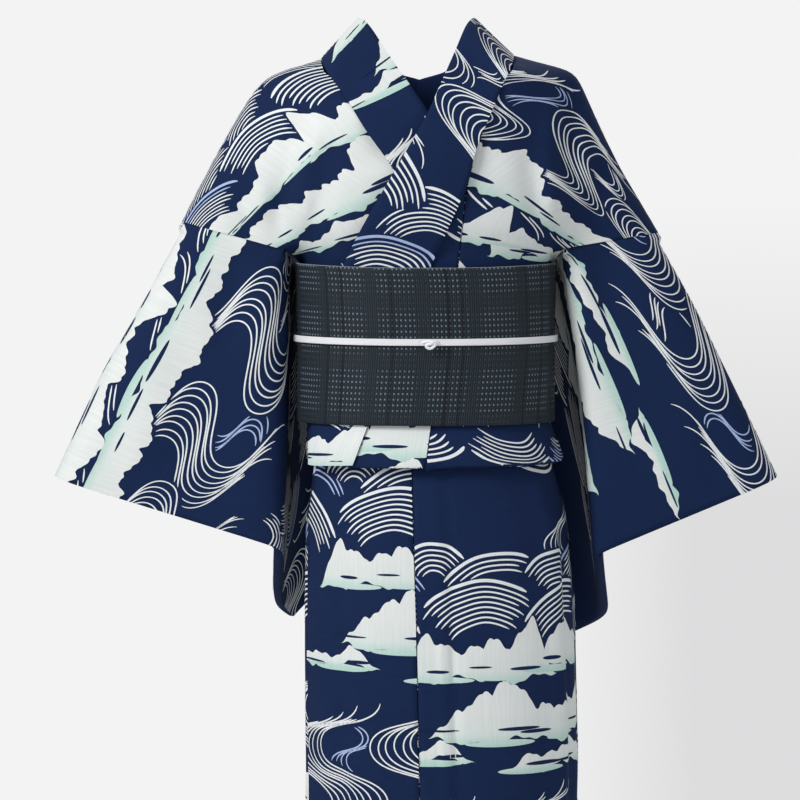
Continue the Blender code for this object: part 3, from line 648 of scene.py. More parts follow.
def okumi_panel(side, name, layer):
    """The overlap above the waist, from its point to the fold of the waist tuck."""
    line = np.array([collar_edge(side, place)[[0, 2]] for place in np.linspace(5, COLLAR_LAST, 70)])
    grid = []
    for v, shift in [(v, 0) for v in np.linspace(POINT_PLACE, 1, 56)] + TUCK_STOPS:
        start, z = body_edges(side, v, False)[0] - np.array([2 * GAP, 0])
        end = np.interp(-z, -line[:, 1], line[:, 0]) - LAP
        off = layer_off(layer, z) + shift
        arm = smooth(0.5, 0.4, v)
        across = [side * (start + (end - start) * u) for u in np.linspace(0, 1, 13)]
        grid.append([(x, cloth_y(x, z, off, False, arm), z) for x in across])
    grid = creased(grid, CHEST_CREASES, -1)
    return Panel(name, grid, OKUMI_START + rows_length(grid), OKUMI_FLAT[0], (30, 6)).soften(2).finish()


def collar_panel(side, name):
    """Half of the collar band, from the middle of the back to its lower end."""
    layer = COLLAR_LEFT if side > 0 else COLLAR_RIGHT
    grid = []
    for place in np.linspace(0, COLLAR_LAST, 131):
        seam = collar_edge(side, place)
        free = collar_edge(side, place, True)
        row = []
        for u in np.linspace(0, 1, 13):
            x, y, z = seam + (free - seam) * u
            x = side * x
            lying = smooth(4 + 0.6 * u, 5.2 + 0.8 * u, place)
            if lying > 0:
                y = y + (lying_y(x, z, layer) - y) * lying
            row.append((x, y, z))
        grid.append(row)
    grid = creased(grid, CHEST_CREASES, -1)
    return Panel(name, grid, rows_length(grid), COLLAR_FLAT, (90, 6)).soften(2).finish()


def skirt_panel(name):
    """One width of the skirt, from under the obi to the hem."""
    start, end, layer_start, layer_end = SKIRT_PANELS[name]
    columns = round((end - start) / 0.0065)
    grid = []
    for z in np.linspace(SKIRT_TOP_Z, HEM_Z, 119):
        row = []
        for u in np.linspace(0, 1, columns + 1):
            metres = (start + GAP + (end - start - 2 * GAP) * u) % HIP_GIRTH
            angle = np.interp(metres / HIP_GIRTH, RING_MARKS, RING_ANGLES)
            off = layer_start + (layer_end - layer_start) * u
            row.append(ring_point(angle, z, off + crease_height(SKIRT_CREASES, metres, z)))
        grid.append(row)
    grid = np.array(grid)
    at = (60, columns // 2)
    return Panel(name, grid, rows_length(grid), end - start, at, grid[at] * (1, 1, 0)).finish()


def sleeve_panel(side, name):
    """A sleeve as one length of cloth: up the front wall, over the top fold, down the back."""
    lengths = [GAP * 2] + list(np.linspace(0, SLEEVE_WIDTH, 46))[1:]
    drops = SLEEVE_DROP * (np.arange(77) / 76) ** 1.15
    across, down = np.meshgrid(lengths, drops)
    height = crease_height(SLEEVE_CREASES[side], across, down) * smooth(0, 0.05, across)
    walls = []
    for behind, gain in ((False, 1), (True, 0.8)):
        grid = np.array([[sleeve_point(side, a, t, behind) for a in lengths] for t in drops])
        grid[..., 1] -= gain * height * smooth(0, 0.05, down)
        walls.append(grid)
    front, back = walls
    points = np.vstack([front[::-1], back[1:]])
    rows_at = np.concatenate([SLEEVE_DROP - drops[::-1], SLEEVE_DROP + drops[1:]])
    panel = Panel(name, points, rows_at, SLEEVE_WIDTH, (48, 22))
    edge = panel.points[:, :2].copy()
    panel.soften(8)
    panel.points[:, :2] = edge
    panel.finish()
    panel.points[:, 0] += (panel.points[:, 0] - panel.points[:, 1]) * 0.6 - panel.normals[:, 0] * 0.0012
    return panel.finish()



# ---------------------------------------------------------------- the chart of the print
# One repeat of the printed cloth, in centimetres: 38 across from the left selvage, and down.
CHART_LENGTH = 125
WHITE_LINE, BLUE_LINE = 0, 1
FAN_PITCH = 0.54         # from one line of a fan to the next
LINE_WIDTH = 0.19
STREAM_WIDTH = 0.1558    # a line of a stream
RIM_WIDTH = 0.36         # the outer line of a fan
BEND = 1.5               # how sharply a stream turns at the end of each run
LEAST_POINTS = 8         # in a piece of a line that fans and clouds leave bare

FANS = (
    # x, y, radius, turn in degrees, sweep in degrees, lines, colour
    (24, -5.5, 8, 186, 84, 7, WHITE_LINE),
    (34, -5, 8.5, 172, 92, 8, BLUE_LINE),
    (13, -6.5, 7.5, 176, 60, 5, WHITE_LINE),
    (4, 17.5, 8, 20, 76, 7, BLUE_LINE),
    (10, 14, 4.2, -2, 124, 6, WHITE_LINE),
    (17.5, 19.5, 8.6, -16, 74, 4, WHITE_LINE),
    (24.5, 16.4, 5.4, 6, 112, 7, WHITE_LINE),
    (1, 22.5, 8, 32, 74, 6, WHITE_LINE),
    (15.5, 23, 9.2, -6, 84, 9, WHITE_LINE),
    (31.5, 19.5, 8.6, 12, 86, 8, BLUE_LINE),
    (27.5, 23.5, 9, -22, 76, 9, WHITE_LINE),
    (38, 22, 8.4, -14, 88, 8, BLUE_LINE),
    (6, 75.5, 9, 24, 84, 10, WHITE_LINE),
    (14, 72, 6.6, -8, 104, 8, BLUE_LINE),
    (22.5, 75, 8.8, 16, 84, 10, WHITE_LINE),
    (30.5, 71.5, 7, -12, 100, 8, WHITE_LINE),
    (37, 76.5, 9, -20, 84, 10, BLUE_LINE),
    (1, 81, 8, 30, 84, 9, BLUE_LINE),
    (11, 80.5, 8, -12, 96, 9, WHITE_LINE),
    (19, 82.5, 7.6, 20, 84, 9, WHITE_LINE),
    (27, 81, 8.2, -18, 92, 9, BLUE_LINE),
    (34.5, 83, 7.8, 12, 92, 9, WHITE_LINE),
    (8, 119, 6, 10, 100, 7, WHITE_LINE),
    (28, 120, 6.6, -14, 96, 8, BLUE_LINE),
)
CLOUDS = (
    # from x, to x, foot y, height of the ridge, peaks, seed
    (6, 24, 24.4, 7.2, 3, 3),
    (21, 42, 23.4, 5.2, 3, 8),
    (9, 42, 31, 7, 5, 5),
    (1, 14, 33, 2.4, 2, 11),
    (17.5, 36, 34.2, 3, 3, 14),
    (-2, 40, 98.6, 5.6, 6, 21),
    (-2, 27, 103, 4.4, 4, 27),
    (22, 40, 104, 4, 3, 31),
    (4, 21, 106.4, 2.6, 3, 36),
)
# kinds of stream: shift of each line across and along, and colour
WIDE = (0.88, 0.12, WHITE_LINE)
NARROW = (0.72, 0.10, WHITE_LINE)
NARROW_BLUE = (0.72, 0.10, BLUE_LINE)
SHORT = (0.80, 0.12, WHITE_LINE)
STREAMS = (
    # x, y, flow in degrees, run, swing in degrees, runs, copies, and the kind
    (2, 35.2, 90, 11, 76, 5, 8, *WIDE),
    (14.8, 36.2, 90, 11.2, 77, 5, 9, *WIDE),
    (27.6, 35, 90, 11, 76, 5, 8, *WIDE),
    (40.3, 36, 90, 11.2, 76, 5, 9, *WIDE),
    (9.5, 37.2, 90, 5.6, -74, 5, 4, *NARROW_BLUE),
    (22.6, 38, 91, 5.6, -74, 5, 4, *NARROW),
    (35, 37, 90, 5.6, -74, 5, 4, *NARROW_BLUE),
    (5.5, 80.6, 90, 10, 75, 4, 8, *WIDE),
    (18.2, 81.8, 91, 10.4, 76, 4, 9, *WIDE),
    (31, 80.4, 89, 10, 75, 4, 8, *WIDE),
    (43.6, 81.4, 90, 10.2, 76, 4, 8, *WIDE),
    (13, 83, 90, 5.4, -74, 4, 4, *NARROW_BLUE),
    (25.8, 82.4, 91, 5.4, -74, 4, 4, *NARROW),
    (4, 106.5, 90, 9.5, 75, 3, 8, *WIDE),
    (16.8, 107.5, 91, 10, 76, 3, 8, *WIDE),
    (29.6, 106.8, 89, 9.5, 75, 3, 8, *WIDE),
    (42.2, 106.8, 89, 9.5, 75, 3, 8, *WIDE),
    (24, 109, 90, 5.4, -74, 4, 4, *NARROW_BLUE),
    (3, 4.5, 90, 8, 76, 2, 6, *SHORT),
    (33, 5.5, 90, 8, 76, 2, 6, *SHORT),
)
LENSES = {
    # fewest, centimetres apart, then mean, sway and turn by seed and by number of each
    # one's place, half length, drop and thickness
    "finger": (2, 6.5, (0.5, 0.3, 3.1, 1.7), (3.2, 1, 1, 2.3), (0.02, 0.22, 1.1, 1.9), (0.64, 0.14, 1, 2.7)),
    "slot": (1, 5.5, (0.5, 0.34, 2.3, 2.6), (1.9, 0.7, 1.4, 1.1), (0, 0.25, 0.7, 2.2), (0.34, 0.1, 1, 1.9)),
}


def fan_lines(row, index):
    """The lines of a fan, thick outside, each a little shorter or longer than the last."""
    x, y, radius, turn, sweep, lines, colour = row
    found = []
    for k in range(lines):
        r = radius - k * FAN_PITCH - (0.12 if k else 0)
        if r < 0.6:
            break
        start = -0.5 * sweep + 5 * math.sin(index * 2.7 + k * 1.9)
        end = 0.5 * sweep + 5 * math.sin(index * 1.3 + k * 2.3)
        count = max(8, int(math.radians(end - start) * r / 0.26))
        angle = np.radians(np.linspace(start, end, count) + turn)
        wobble = 1 + 0.006 * np.sin(angle * 9 + index)
        points = np.stack([x + r * wobble * np.sin(angle), y - r * wobble * np.cos(angle)], 1)
        tint = colour if k < 1 + (index * 5) % 9 else WHITE_LINE
        found.append((points, RIM_WIDTH if k == 0 else LINE_WIDTH, tint))
    return found


def in_fan(row, points):
    """Which points a fan covers."""
    x, y, radius, turn, sweep, lines, _ = row
    dx, dy = points[:, 0] - x, points[:, 1] - y
    far = np.hypot(dx, dy)
    angle = (np.degrees(np.arctan2(dx, -dy)) - turn + 180) % 360 - 180
    ring = (far < radius + 0.32) & (far > radius - lines * FAN_PITCH - 0.1)
    return ring & (np.abs(angle) < 0.5 * sweep + 4)


def ridge(row, x):
    """Height of a cloud band's mountain ridge at places x."""
    start, end, _, height, peaks, seed = row
    span = end - start
    total = np.zeros_like(x)
    for k in range(peaks):
        middle = start + span * (k + 0.5 + 0.30 * math.sin(seed * 1.7 + k * 2.1)) / peaks
        tall = 0.66 + 0.34 * math.sin(seed * 0.9 + k * 2.9)
        wide = span / peaks * (0.80 + 0.20 * math.sin(seed + k * 1.3))
        slope = np.clip(1 - np.abs(x - middle) / wide, 0, 1)
        total = np.maximum(total, tall * (1 - (1 - slope) ** 1.5))
    scallop = 0.085 * np.abs(np.sin(x * 1.25 + seed)) + 0.040 * np.abs(np.sin(x * 2.9 + seed * 2))
    ends = smooth(start, start + 3.4, x) * smooth(end, end - 3.4, x)
    return height * (0.26 + 0.58 * total + scallop) * ends ** 0.8


def foot(row, x):
    """Height y of a cloud band's wandering foot at places x."""
    _, _, base, _, _, seed = row
    wander = 0.35 * np.sin(x * 0.62 + seed) + 0.22 * np.sin(x * 1.45 + seed * 1.9)
    return base + wander + 0.10 * np.sin(x * 3.7 + seed)


def cloud_lenses(row, kind):
    """White fingers along a cloud band's foot, or slots of bare cloth: from x, to x, y, thickness."""
    start, end, base, height, _, seed = row
    fewest, apart, *waves = LENSES[kind]
    count = max(fewest, int((end - start) / apart))
    if kind == "slot":
        base = base - 0.16 * height
    found = []
    for k in range(count):
        share, reach, drop, thick = [mean + sway * math.sin(seed * a + k * b) for mean, sway, a, b in waves]
        middle = start + (end - start) * (k + share) / count
        found.append((middle - reach, middle + reach, base + drop, thick))
    return found


def in_cloud(row, points):
    """Which points a cloud band covers."""
    x, y = points[:, 0], points[:, 1]
    low = foot(row, x)
    hit = (x > row[0]) & (x < row[1]) & (y > low - ridge(row, x) - 0.30) & (y < low + 0.30)
    for left, right, level, thick in cloud_lenses(row, "finger"):
        hit = hit | ((x > left) & (x < right) & (np.abs(y - level) < 0.5 * thick + 0.2))
    return hit


def stream_lines(row, index):
    """A bundle of flowing lines: copies of one meander, shifted, with staggered ends."""
    x, y, flow, run, swing, runs, copies, across, shift, colour = row
    ahead = np.array([math.cos(math.radians(flow)), math.sin(math.radians(flow))])
    beside = np.array([-ahead[1], ahead[0]])

    def heading(s):
        turn = np.radians(flow + swing * np.tanh(BEND * np.sin(math.pi * s)) / math.tanh(BEND))
        return np.stack([np.cos(turn), np.sin(turn)], 1)
    found = []
    for k in range(copies):
        first = 0.34 * (1 + math.sin(index * 1.9 + k * 2.4)) * 0.5
        last = runs - 0.42 * (1 + math.sin(index * 2.3 + k * 1.8)) * 0.5
        s = np.linspace(first, last, int((last - first) * run / 0.24))
        step = (s[1] - s[0]) * run
        start = heading(np.arange(0, first, s[1] - s[0])).sum(0) * step
        path = np.cumsum(heading(s), axis=0) * step
        move = beside * across * k + ahead * shift * k
        found.append((path + start + move + np.array([x, y]), STREAM_WIDTH, colour))
    return found


def kept_runs(points, width, colour, keep):
    """A line broken up where it is not kept, without its shortest pieces."""
    edges = np.flatnonzero(np.diff(np.concatenate(([0], keep.astype(int), [0]))))
    return [(points[a:b], width, colour) for a, b in zip(edges[::2], edges[1::2]) if b - a >= LEAST_POINTS]


def cells_of(points):
    """Cells of the chart, 1 mm square, that points fall in."""
    x = np.clip(((points[:, 0] + 12) * 10).astype(int), 0, 619)
    y = ((points[:, 1] % CHART_LENGTH) * 10).astype(int) % 1250
    return x, y


def draw_chart():
    """Every line of the chart that no fan or cloud covers, as (points, widths, colour)."""
    strokes = []
    taken = np.zeros((620, 1250), dtype=bool)
    around = [np.array([dx, dy]) * 0.15 for dx in range(-2, 3) for dy in range(-2, 3)]
    for index, row in enumerate(STREAMS):
        bundle = stream_lines(row, index)
        free = [~taken[cells_of(points)] for points, _, _ in bundle]
        for points, _, _ in bundle:
            for offset in around:
                taken[cells_of(points + offset)] = True
        for line, keep in zip(bundle, free):
            for shift in (-CHART_LENGTH, 0, CHART_LENGTH):
                moved = line[0] + np.array([0, shift])
                for other in FANS:
                    keep &= ~in_fan(other, moved)
                for other in CLOUDS:
                    keep &= ~in_cloud(other, moved)
            strokes += kept_runs(*line, keep)
    for index, row in enumerate(FANS):
        for line in fan_lines(row, index):
            keep = np.ones(len(line[0]), dtype=bool)
            for other in FANS[index + 1:]:
                keep &= ~in_fan(other, line[0])
            for other in CLOUDS:
                keep &= ~in_cloud(other, line[0])
            strokes += kept_runs(*line, keep)
    chart = []
    for points, width, colour in strokes:
        far = np.minimum(np.arange(len(points)), np.arange(len(points))[::-1]) * 0.25
        taper = np.clip(0.35 + far / 0.9, 0, 1)
        chart.append((points * 0.01, width * 0.01 * taper, colour))
    return chart


CHART = draw_chart()

# where each panel lies on the cloth: x and y of its corner on the chart in metres, then the
# senses in which the panel's own across and down run
LAYOUT = {
    "body_right": (0.02, 0.105, 1, 1),
    "body_left": (0.00, 0.800, 1, 1),
    "okumi_left": (0.16, 1.035, 1, 1),
    "collar_left": (0.21, 0.250, 1, 1),
    "collar_right": (0.05, 0.030, 1, 1),
    "sleeve_left": (0.34, -0.035, -1, 1),
    "sleeve_right": (0.33, 0.540, -1, 1),
    "skirt_okumi_left": (0.030, 0.030, 1, 1),
    "skirt_front_left": (0.080, -0.070, 1, 1),
    "skirt_back_left": (0.120, 0.260, 1, 1),
    "skirt_back_right": (0.020, 0.800, 1, 1),
    "skirt_front_right": (0.060, 0.520, 1, 1),
}
PRINT_OFF = 0.5 * SHELL + 0.00050
PRINT_SLACK = 0.0028     # how far a printed shape may run past a panel's edge before it is left out
LIFT = 0.00003           # from one printed shape to the one that lies over it


class Print:
    """Thin printed shapes on one panel, gathered into one mesh."""

    def __init__(self, panel, layout):
        self.panel = panel
        self.x, self.y, self.across, self.down = layout
        self.verts, self.flats, self.fades, self.faces, self.kinds = [], [], [], [], []

    def add_grid(self, chart_grid, kind, fades, lift=0):
        """Lay a grid of chart places on the panel, in every repeat, less what falls outside it."""
        rows, columns = chart_grid.shape[:2]
        flip = (self.across * self.down < 0) == (not self.panel.turned)
        low, high = self.panel.rows_at.min(), self.panel.rows_at.max()
        x = (chart_grid[..., 0].ravel() - self.x) * self.across
        for tile in (-1, 0, 1):
            y = (chart_grid[..., 1].ravel() + tile * CHART_LENGTH * 0.01 - self.y) * self.down
            if y.max() < low or y.min() > high or x.max() < 0 or x.min() > self.panel.width:
                continue
            points, normals, inside = self.panel.place(x, y)
            inside = inside.reshape(rows, columns)
            whole = inside[1:, 1:] & inside[:-1, 1:] & inside[1:, :-1] & inside[:-1, :-1]
            if not whole.any():
                continue
            index = np.arange(rows * columns).reshape(rows, columns) + len(self.verts)
            self.verts.extend((points + normals * (PRINT_OFF + lift)).tolist())
            self.flats.extend(np.stack([x, y], 1).tolist())
            self.fades.extend(fades.ravel().tolist())
            for i, j in zip(*np.nonzero(whole)):
                quad = (index[i, j], index[i + 1, j], index[i + 1, j + 1], index[i, j + 1])
                self.faces.append(quad if flip else quad[::-1])
                self.kinds.append(kind)

    def lay_lines(self):
        """Lay every line of the chart."""
        for points, widths, colour in CHART:
            way = np.gradient(points, axis=0)
            way = way / np.maximum(np.linalg.norm(way, axis=1), 1e-9)[:, None]
            out = np.stack([-way[:, 1], way[:, 0]], 1) * widths[:, None] * 0.5
            grid = np.stack([points - out, points + out], 1)
            self.add_grid(grid, LINE_PRINT + colour, np.zeros(grid.shape[:2]))

    def lay_cloud(self, row, left, right, edges, lift, kind):
        """Lay a shape between two edges, worked out at places x; it fades to the band's foot."""
        _, _, base, height, _, _ = row
        x = np.linspace(left, right, max(6, int((right - left) / 0.22)))
        upper, lower = edges(x)
        count = max(3, int(np.max(lower - upper) / 0.30) + 2)
        y = upper[None] + (lower - upper)[None] * np.linspace(0, 1, count)[:, None]
        fades = np.clip((y - (base - 0.50 * height)) / (0.62 * height), 0, 1)
        self.add_grid(np.stack([np.broadcast_to(x, y.shape), y], 2) * 0.01, kind, fades, lift)

    def lay_clouds(self):
        """Lay the cloud bands, with the fingers and slots along their feet."""
        for index, row in enumerate(CLOUDS):
            lift = LIFT * (index % 2)

            def band(x, row=row):
                return foot(row, x) - ridge(row, x), foot(row, x)
            self.lay_cloud(row, row[0], row[1], band, lift, CLOUD_PRINT)
            for kind, material, rise in (("finger", CLOUD_PRINT, 2 * LIFT), ("slot", BARE_PRINT, 4 * LIFT)):
                for left, right, level, thick in cloud_lenses(row, kind):
                    def edges(x, left=left, right=right, level=level, thick=thick):
                        share = np.clip((x - left) / (right - left), 0, 1)
                        half = 0.5 * thick * np.sqrt(np.clip(4 * share * (1 - share), 0, 1))
                        return level - half, level + half
                    self.lay_cloud(row, left, right, edges, lift + rise, material)

    def build(self):
        """The printed shapes as one object."""
        used = sorted({k for face in self.faces for k in face})
        place = {k: n for n, k in enumerate(used)}
        faces = [tuple(place[k] for k in face) for face in self.faces]
        points = [self.verts[k] for k in used]
        flats = np.array([self.flats[k] for k in used])
        obj = cloth_mesh(self.panel.name + "_print", points, faces, flats, PRINT_MATERIALS)
        obj.data.polygons.foreach_set("material_index", self.kinds)
        fade = obj.data.attributes.new("fade", "FLOAT", "POINT")
        fade.data.foreach_set("value", np.array([self.fades[k] for k in used]))
        return obj


def cloth_mesh(name, points, faces, flats, materials):
    """A smooth mesh object with the flat place of each point as its UV map."""
    mesh = bpy.data.meshes.new(name)
    mesh.from_pydata(points, [], faces)
    for material in materials:
        mesh.materials.append(material)
    layer = mesh.uv_layers.new(name="flat")
    layer.data.foreach_set("uv", flats[[k for face in faces for k in face]].ravel())
    mesh.shade_smooth()
    return placed(name, mesh)


def placed(name, data):
    """A new object in the scene."""
    obj = bpy.data.objects.new(name, data)
    bpy.context.scene.collection.objects.link(obj)
    return obj


def print_on(panel):
    """Lay the chart on a panel."""
    sheet = Print(panel, LAYOUT[panel.name])
    sheet.lay_lines()
    sheet.lay_clouds()
    obj = sheet.build()
    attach(obj, "root")
    return obj


# ---------------------------------------------------------------- materials
THREAD_PITCH = 0.0011
STREAKS = (420, 16, 1)     # noise drawn out up the cloth
CLOUD_RAMP = ((0, (0.88, 0.90, 0.87)), (0.5, (0.83, 0.88, 0.84)), (1, (0.52, 0.76, 0.67)))


class Nodes:
    """Short ways to add shader nodes to a node tree."""

    def __init__(self, tree):
        self.tree = tree

    def put(self, socket, value):
        """Give a socket a value, or join it to another socket."""
        if isinstance(value, bpy.types.NodeSocket):
            self.tree.links.new(value, socket)
        else:
            socket.default_value = value

    def add(self, kind, settings=(), **inputs):
        """A node of a kind, with settings as name and value pairs and some inputs (_ for a space)."""
        node = self.tree.nodes.new("ShaderNode" + kind)
        for name, value in settings:
            setattr(node, name, value)
        for name, value in inputs.items():
            self.put(node.inputs[name.replace("_", " ")], value)
        return node

    def calc(self, kind, a, b=0, clamp=False):
        """A Math node on sockets or numbers; its output."""
        node = self.add("Math", (("operation", kind), ("use_clamp", clamp)))
        self.put(node.inputs[0], a)
        self.put(node.inputs[1], b)
        return node.outputs[0]

    def times(self, a, b, clamp=False):
        return self.calc("MULTIPLY", a, b, clamp)

    def plus(self, a, b, clamp=False):
        return self.calc("ADD", a, b, clamp)

    def wave(self, source, pitch, turn=0):
        """A sine wave with a pitch in metres, and its turn at 0."""
        return self.calc("SINE", self.plus(self.times(source, 2 * math.pi / pitch), turn))

    def blend(self, share, a, b, kind="MIX"):
        """A colour between two colours, which may be sockets."""
        node = self.add("Mix", (("data_type", "RGBA"), ("blend_type", kind)), Factor=share)
        for socket, value in zip(node.inputs[6:8], (a, b)):
            self.put(socket, (*value, 1) if isinstance(value, tuple) else value)
        return node.outputs[2]

    def noise(self, source, scale, detail=2):
        """Noise at a scale in x, y and z; its factor."""
        moved = self.add("Mapping", Vector=source, Scale=scale)
        return self.add("TexNoise", Vector=moved.outputs[0], Scale=1, Detail=detail).outputs["Fac"]


class Woven(Nodes):
    """A cloth material, with the flat place of each point along and up or down the cloth."""

    def __init__(self, name, roughness, sheen=0, gloss=0.3):
        self.material = bpy.data.materials.new(name)
        self.material.use_nodes = True
        super().__init__(self.material.node_tree)
        self.shader = self.tree.nodes["Principled BSDF"]
        for socket, value in (("Roughness", roughness), ("Sheen Weight", sheen), ("Sheen Roughness", 0.5),
                              ("Specular IOR Level", gloss)):
            self.shader.inputs[socket].default_value = value
        self.flat = self.add("UVMap", (("uv_map", "flat"),)).outputs["UV"]
        self.across, self.up = self.add("SeparateXYZ", Vector=self.flat).outputs[:2]

    def finish(self, colour, height, strength, distance):
        """Join the colour and the bump's height to the shader."""
        bump = self.add("Bump", Height=height, Strength=strength, Distance=distance)
        self.put(self.shader.inputs["Base Color"], colour)
        self.put(self.shader.inputs["Normal"], bump.outputs["Normal"])
        return self.material

    def plain_weave(self, colour, strength):
        """A plain weave as bump: warp and weft ribs with uneven threads."""
        ribs = self.times(self.wave(self.across, THREAD_PITCH), self.wave(self.up, THREAD_PITCH))
        threads = self.noise(self.flat, (900, 60, 1), 3)
        return self.finish(colour, self.plus(self.times(ribs, 0.35), threads), strength, 0.0003)


def navy_cotton():
    """Navy cotton with faint slubs across and a slightly clouded dye."""
    look = Woven("yukata_navy_cotton", 0.88, 0, 0.12)
    slub = look.noise(look.flat, (45, 900, 1))
    cloud = look.noise(look.flat, (14, 14, 1))
    share = look.plus(look.times(slub, 0.75), look.times(cloud, 0.30), clamp=True)
    return look.plain_weave(look.blend(share, (0.0056, 0.0148, 0.0520), (0.0110, 0.0270, 0.0900)), 0.45)


def print_cotton(name, light, dark):
    """Undyed or tinted cotton between two colours, in upright streaks."""
    look = Woven(name, 0.86, 0.05)
    return look.plain_weave(look.blend(look.noise(look.flat, STREAKS), light, dark), 0.40)


def cloud_cotton():
    """The clouds: white at the ridge to pale green at the foot, with upright streaks."""
    look = Woven("print_clouds", 0.86, 0.05)
    fade = look.add("Attribute", (("attribute_name", "fade"),))
    ramp = look.add("ValToRGB", Fac=fade.outputs["Fac"])
    ramp.color_ramp.interpolation = "EASE"
    ramp.color_ramp.elements.new(0.5)
    for element, (at, colour) in zip(ramp.color_ramp.elements, CLOUD_RAMP):
        element.position = at
        element.color = (*colour, 1)
    amount = look.times(look.noise(look.flat, STREAKS), 0.55)
    return look.plain_weave(look.blend(amount, ramp.outputs["Color"], (0.66, 0.70, 0.71), "MULTIPLY"), 0.40)


def obi_cloth():
    """The obi's woven check: rows of pale dots, strong and weak in wide bands both ways."""
    look = Woven("obi_weave", 0.60, 0.02, 0.25)
    times, plus, wave = look.times, look.plus, look.wave
    dots = times(look.calc("MAXIMUM", wave(look.across, 0.0046), 0),
                 look.calc("MAXIMUM", wave(look.up, 0.0060), 0))
    dots = times(plus(dots, -0.30), 2.6, clamp=True)
    uneven = look.noise(look.flat, (26, 9, 1), 1)
    wide_across = plus(times(wave(look.across, 0.054, 0.9), 1.6), 1.45, clamp=True)
    wide_up = plus(times(wave(look.up, 0.063, 1.1), 1.6), 1.45, clamp=True)
    bands = times(plus(wide_across, 0.10), plus(wide_up, 0.12))
    bands = times(bands, plus(uneven, 0.35), clamp=True)
    rib = times(plus(wave(look.across, 0.0023), 1), 0.5)
    ground = look.blend(times(rib, 0.8), (0.0025, 0.0055, 0.0080), (0.0250, 0.0390, 0.0520))
    colour = look.blend(times(dots, bands), ground, (0.190, 0.240, 0.300))
    for pitch, turn in ((0.1120, 2.2), (0.0730, 0.4)):
        line = times(plus(wave(look.across, pitch, turn), -0.990), 120, clamp=True)
        colour = look.blend(times(line, 0.75), colour, (0.002, 0.003, 0.006))
    from_middle = look.calc("ABSOLUTE", plus(look.up, -0.086))
    edge = look.calc("GREATER_THAN", from_middle, 0.0855)
    colour = look.blend(times(edge, 0.65), colour, (0.34, 0.38, 0.40))
    return look.finish(colour, plus(times(rib, 0.4), dots), 0.6, 0.0006)


def cord_braid():
    """White silk braid with a fine herringbone."""
    look = Woven("cord_braid", 0.55, 0.10)
    rib = look.wave(look.plus(look.across, look.calc("ABSOLUTE", look.up)), 0.0016)
    share = look.times(look.plus(rib, 1), 0.5)
    return look.finish(look.blend(share, (0.86, 0.86, 0.89), (0.97, 0.97, 0.98)), rib, 0.5, 0.0004)


NAVY = navy_cotton()
PRINT_MATERIALS = (
    cloud_cotton(),
    print_cotton("print_white_lines", (0.78, 0.82, 0.83), (0.88, 0.90, 0.90)),
    print_cotton("print_blue_lines", (0.38, 0.48, 0.76), (0.47, 0.57, 0.84)),
    NAVY,
)
CLOUD_PRINT, LINE_PRINT, BARE_PRINT = 0, 1, 3    # places in PRINT_MATERIALS
OBI = obi_cloth()
CORD = cord_braid()


# ---------------------------------------------------------------- building the pieces
def quad(index, panel, *corners):
    """A face on four places of a grid, turned to face out."""
    face = tuple(int(index[corner]) for corner in corners)
    return face[::-1] if panel.turned else face


def shell(panel, name, material, thickness, closed=()):
    """The panel's grid as a thin shell, with further faces given by their places in the grid."""
    rows, columns = panel.points.shape[:2]
    index = np.arange(rows * columns).reshape(rows, columns)
    corners = [((i, j), (i + 1, j), (i + 1, j + 1), (i, j + 1))
               for i in range(rows - 1) for j in range(columns - 1)]
    faces = [quad(index, panel, *four) for four in corners + list(closed)]
    u = np.linspace(0, 1, columns)
    across = np.array([panel.flat_x(u, w) for w in panel.row_width])
    down = np.repeat(panel.rows_at[:, None], columns, axis=1)
    flats = np.stack([across, down], 2).reshape(-1, 2)
    obj = cloth_mesh(name, panel.points.reshape(-1, 3).tolist(), faces, flats, [material])
    wall = obj.modifiers.new("wall", "SOLIDIFY")
    wall.thickness = thickness
    wall.offset = 0
    return obj


def declare(obj, node):
    """Hide the CAD part that a piece stands in for, and hang the piece on the root."""
    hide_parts(node)
    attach(obj, "root")


def cloth(panel, marks=None, closed=()):
    """Make a piece of the robe's cloth, hide its CAD part and hang it on the root, with its print if the
    layout has one.
    """
    if marks is None:
        marks = [print_on(panel)] if panel.name in LAYOUT else []
    obj = shell(panel, panel.name + "_cloth", NAVY, SHELL, closed)
    declare(obj, panel.name)


def make_bodies():
    """Both body lengths and both okumi."""
    for side, word, layer in ((1, "left", BODY_LEFT), (-1, "right", BODY_RIGHT)):
        cloth(body_panel(side, "body_" + word, layer))
        cloth(okumi_panel(side, "okumi_" + word, layer))


def make_collar():
    """The collar band, made in two halves that meet behind the neck."""
    left, right = collar_panel(1, "collar_left"), collar_panel(-1, "collar_right")
    marks = [print_on(left), print_on(right)]
    points = np.vstack([right.points[::-1], left.points[1:]])
    rows_at = np.concatenate([-right.rows_at[::-1], left.rows_at[1:]])
    whole = Panel("collar", points, rows_at, COLLAR_FLAT, (len(points) - 40, 6)).finish()
    cloth(whole, marks)


def make_skirt():
    """The six widths of the skirt."""
    for name, (start, end, _, _) in SKIRT_PANELS.items():
        cloth(skirt_panel(name))


def make_sleeves():
    """Both sleeves, each closed at the bottom and up the cuff to the hand opening."""
    for side, name in ((1, "sleeve_left"), (-1, "sleeve_right")):
        panel = sleeve_panel(side, name)
        rows, last = len(panel.points), panel.points.shape[1] - 1
        closed = [((rows - 1, j), (0, j), (0, j + 1), (rows - 1, j + 1)) for j in range(last)]
        closed += [((i, last), (i + 1, last), (rows - 2 - i, last), (rows - 1 - i, last))
                   for i in range(rows // 2) if SLEEVE_DROP - panel.rows_at[i + 1] >= CUFF_OPENING]
        cloth(panel, closed=closed)


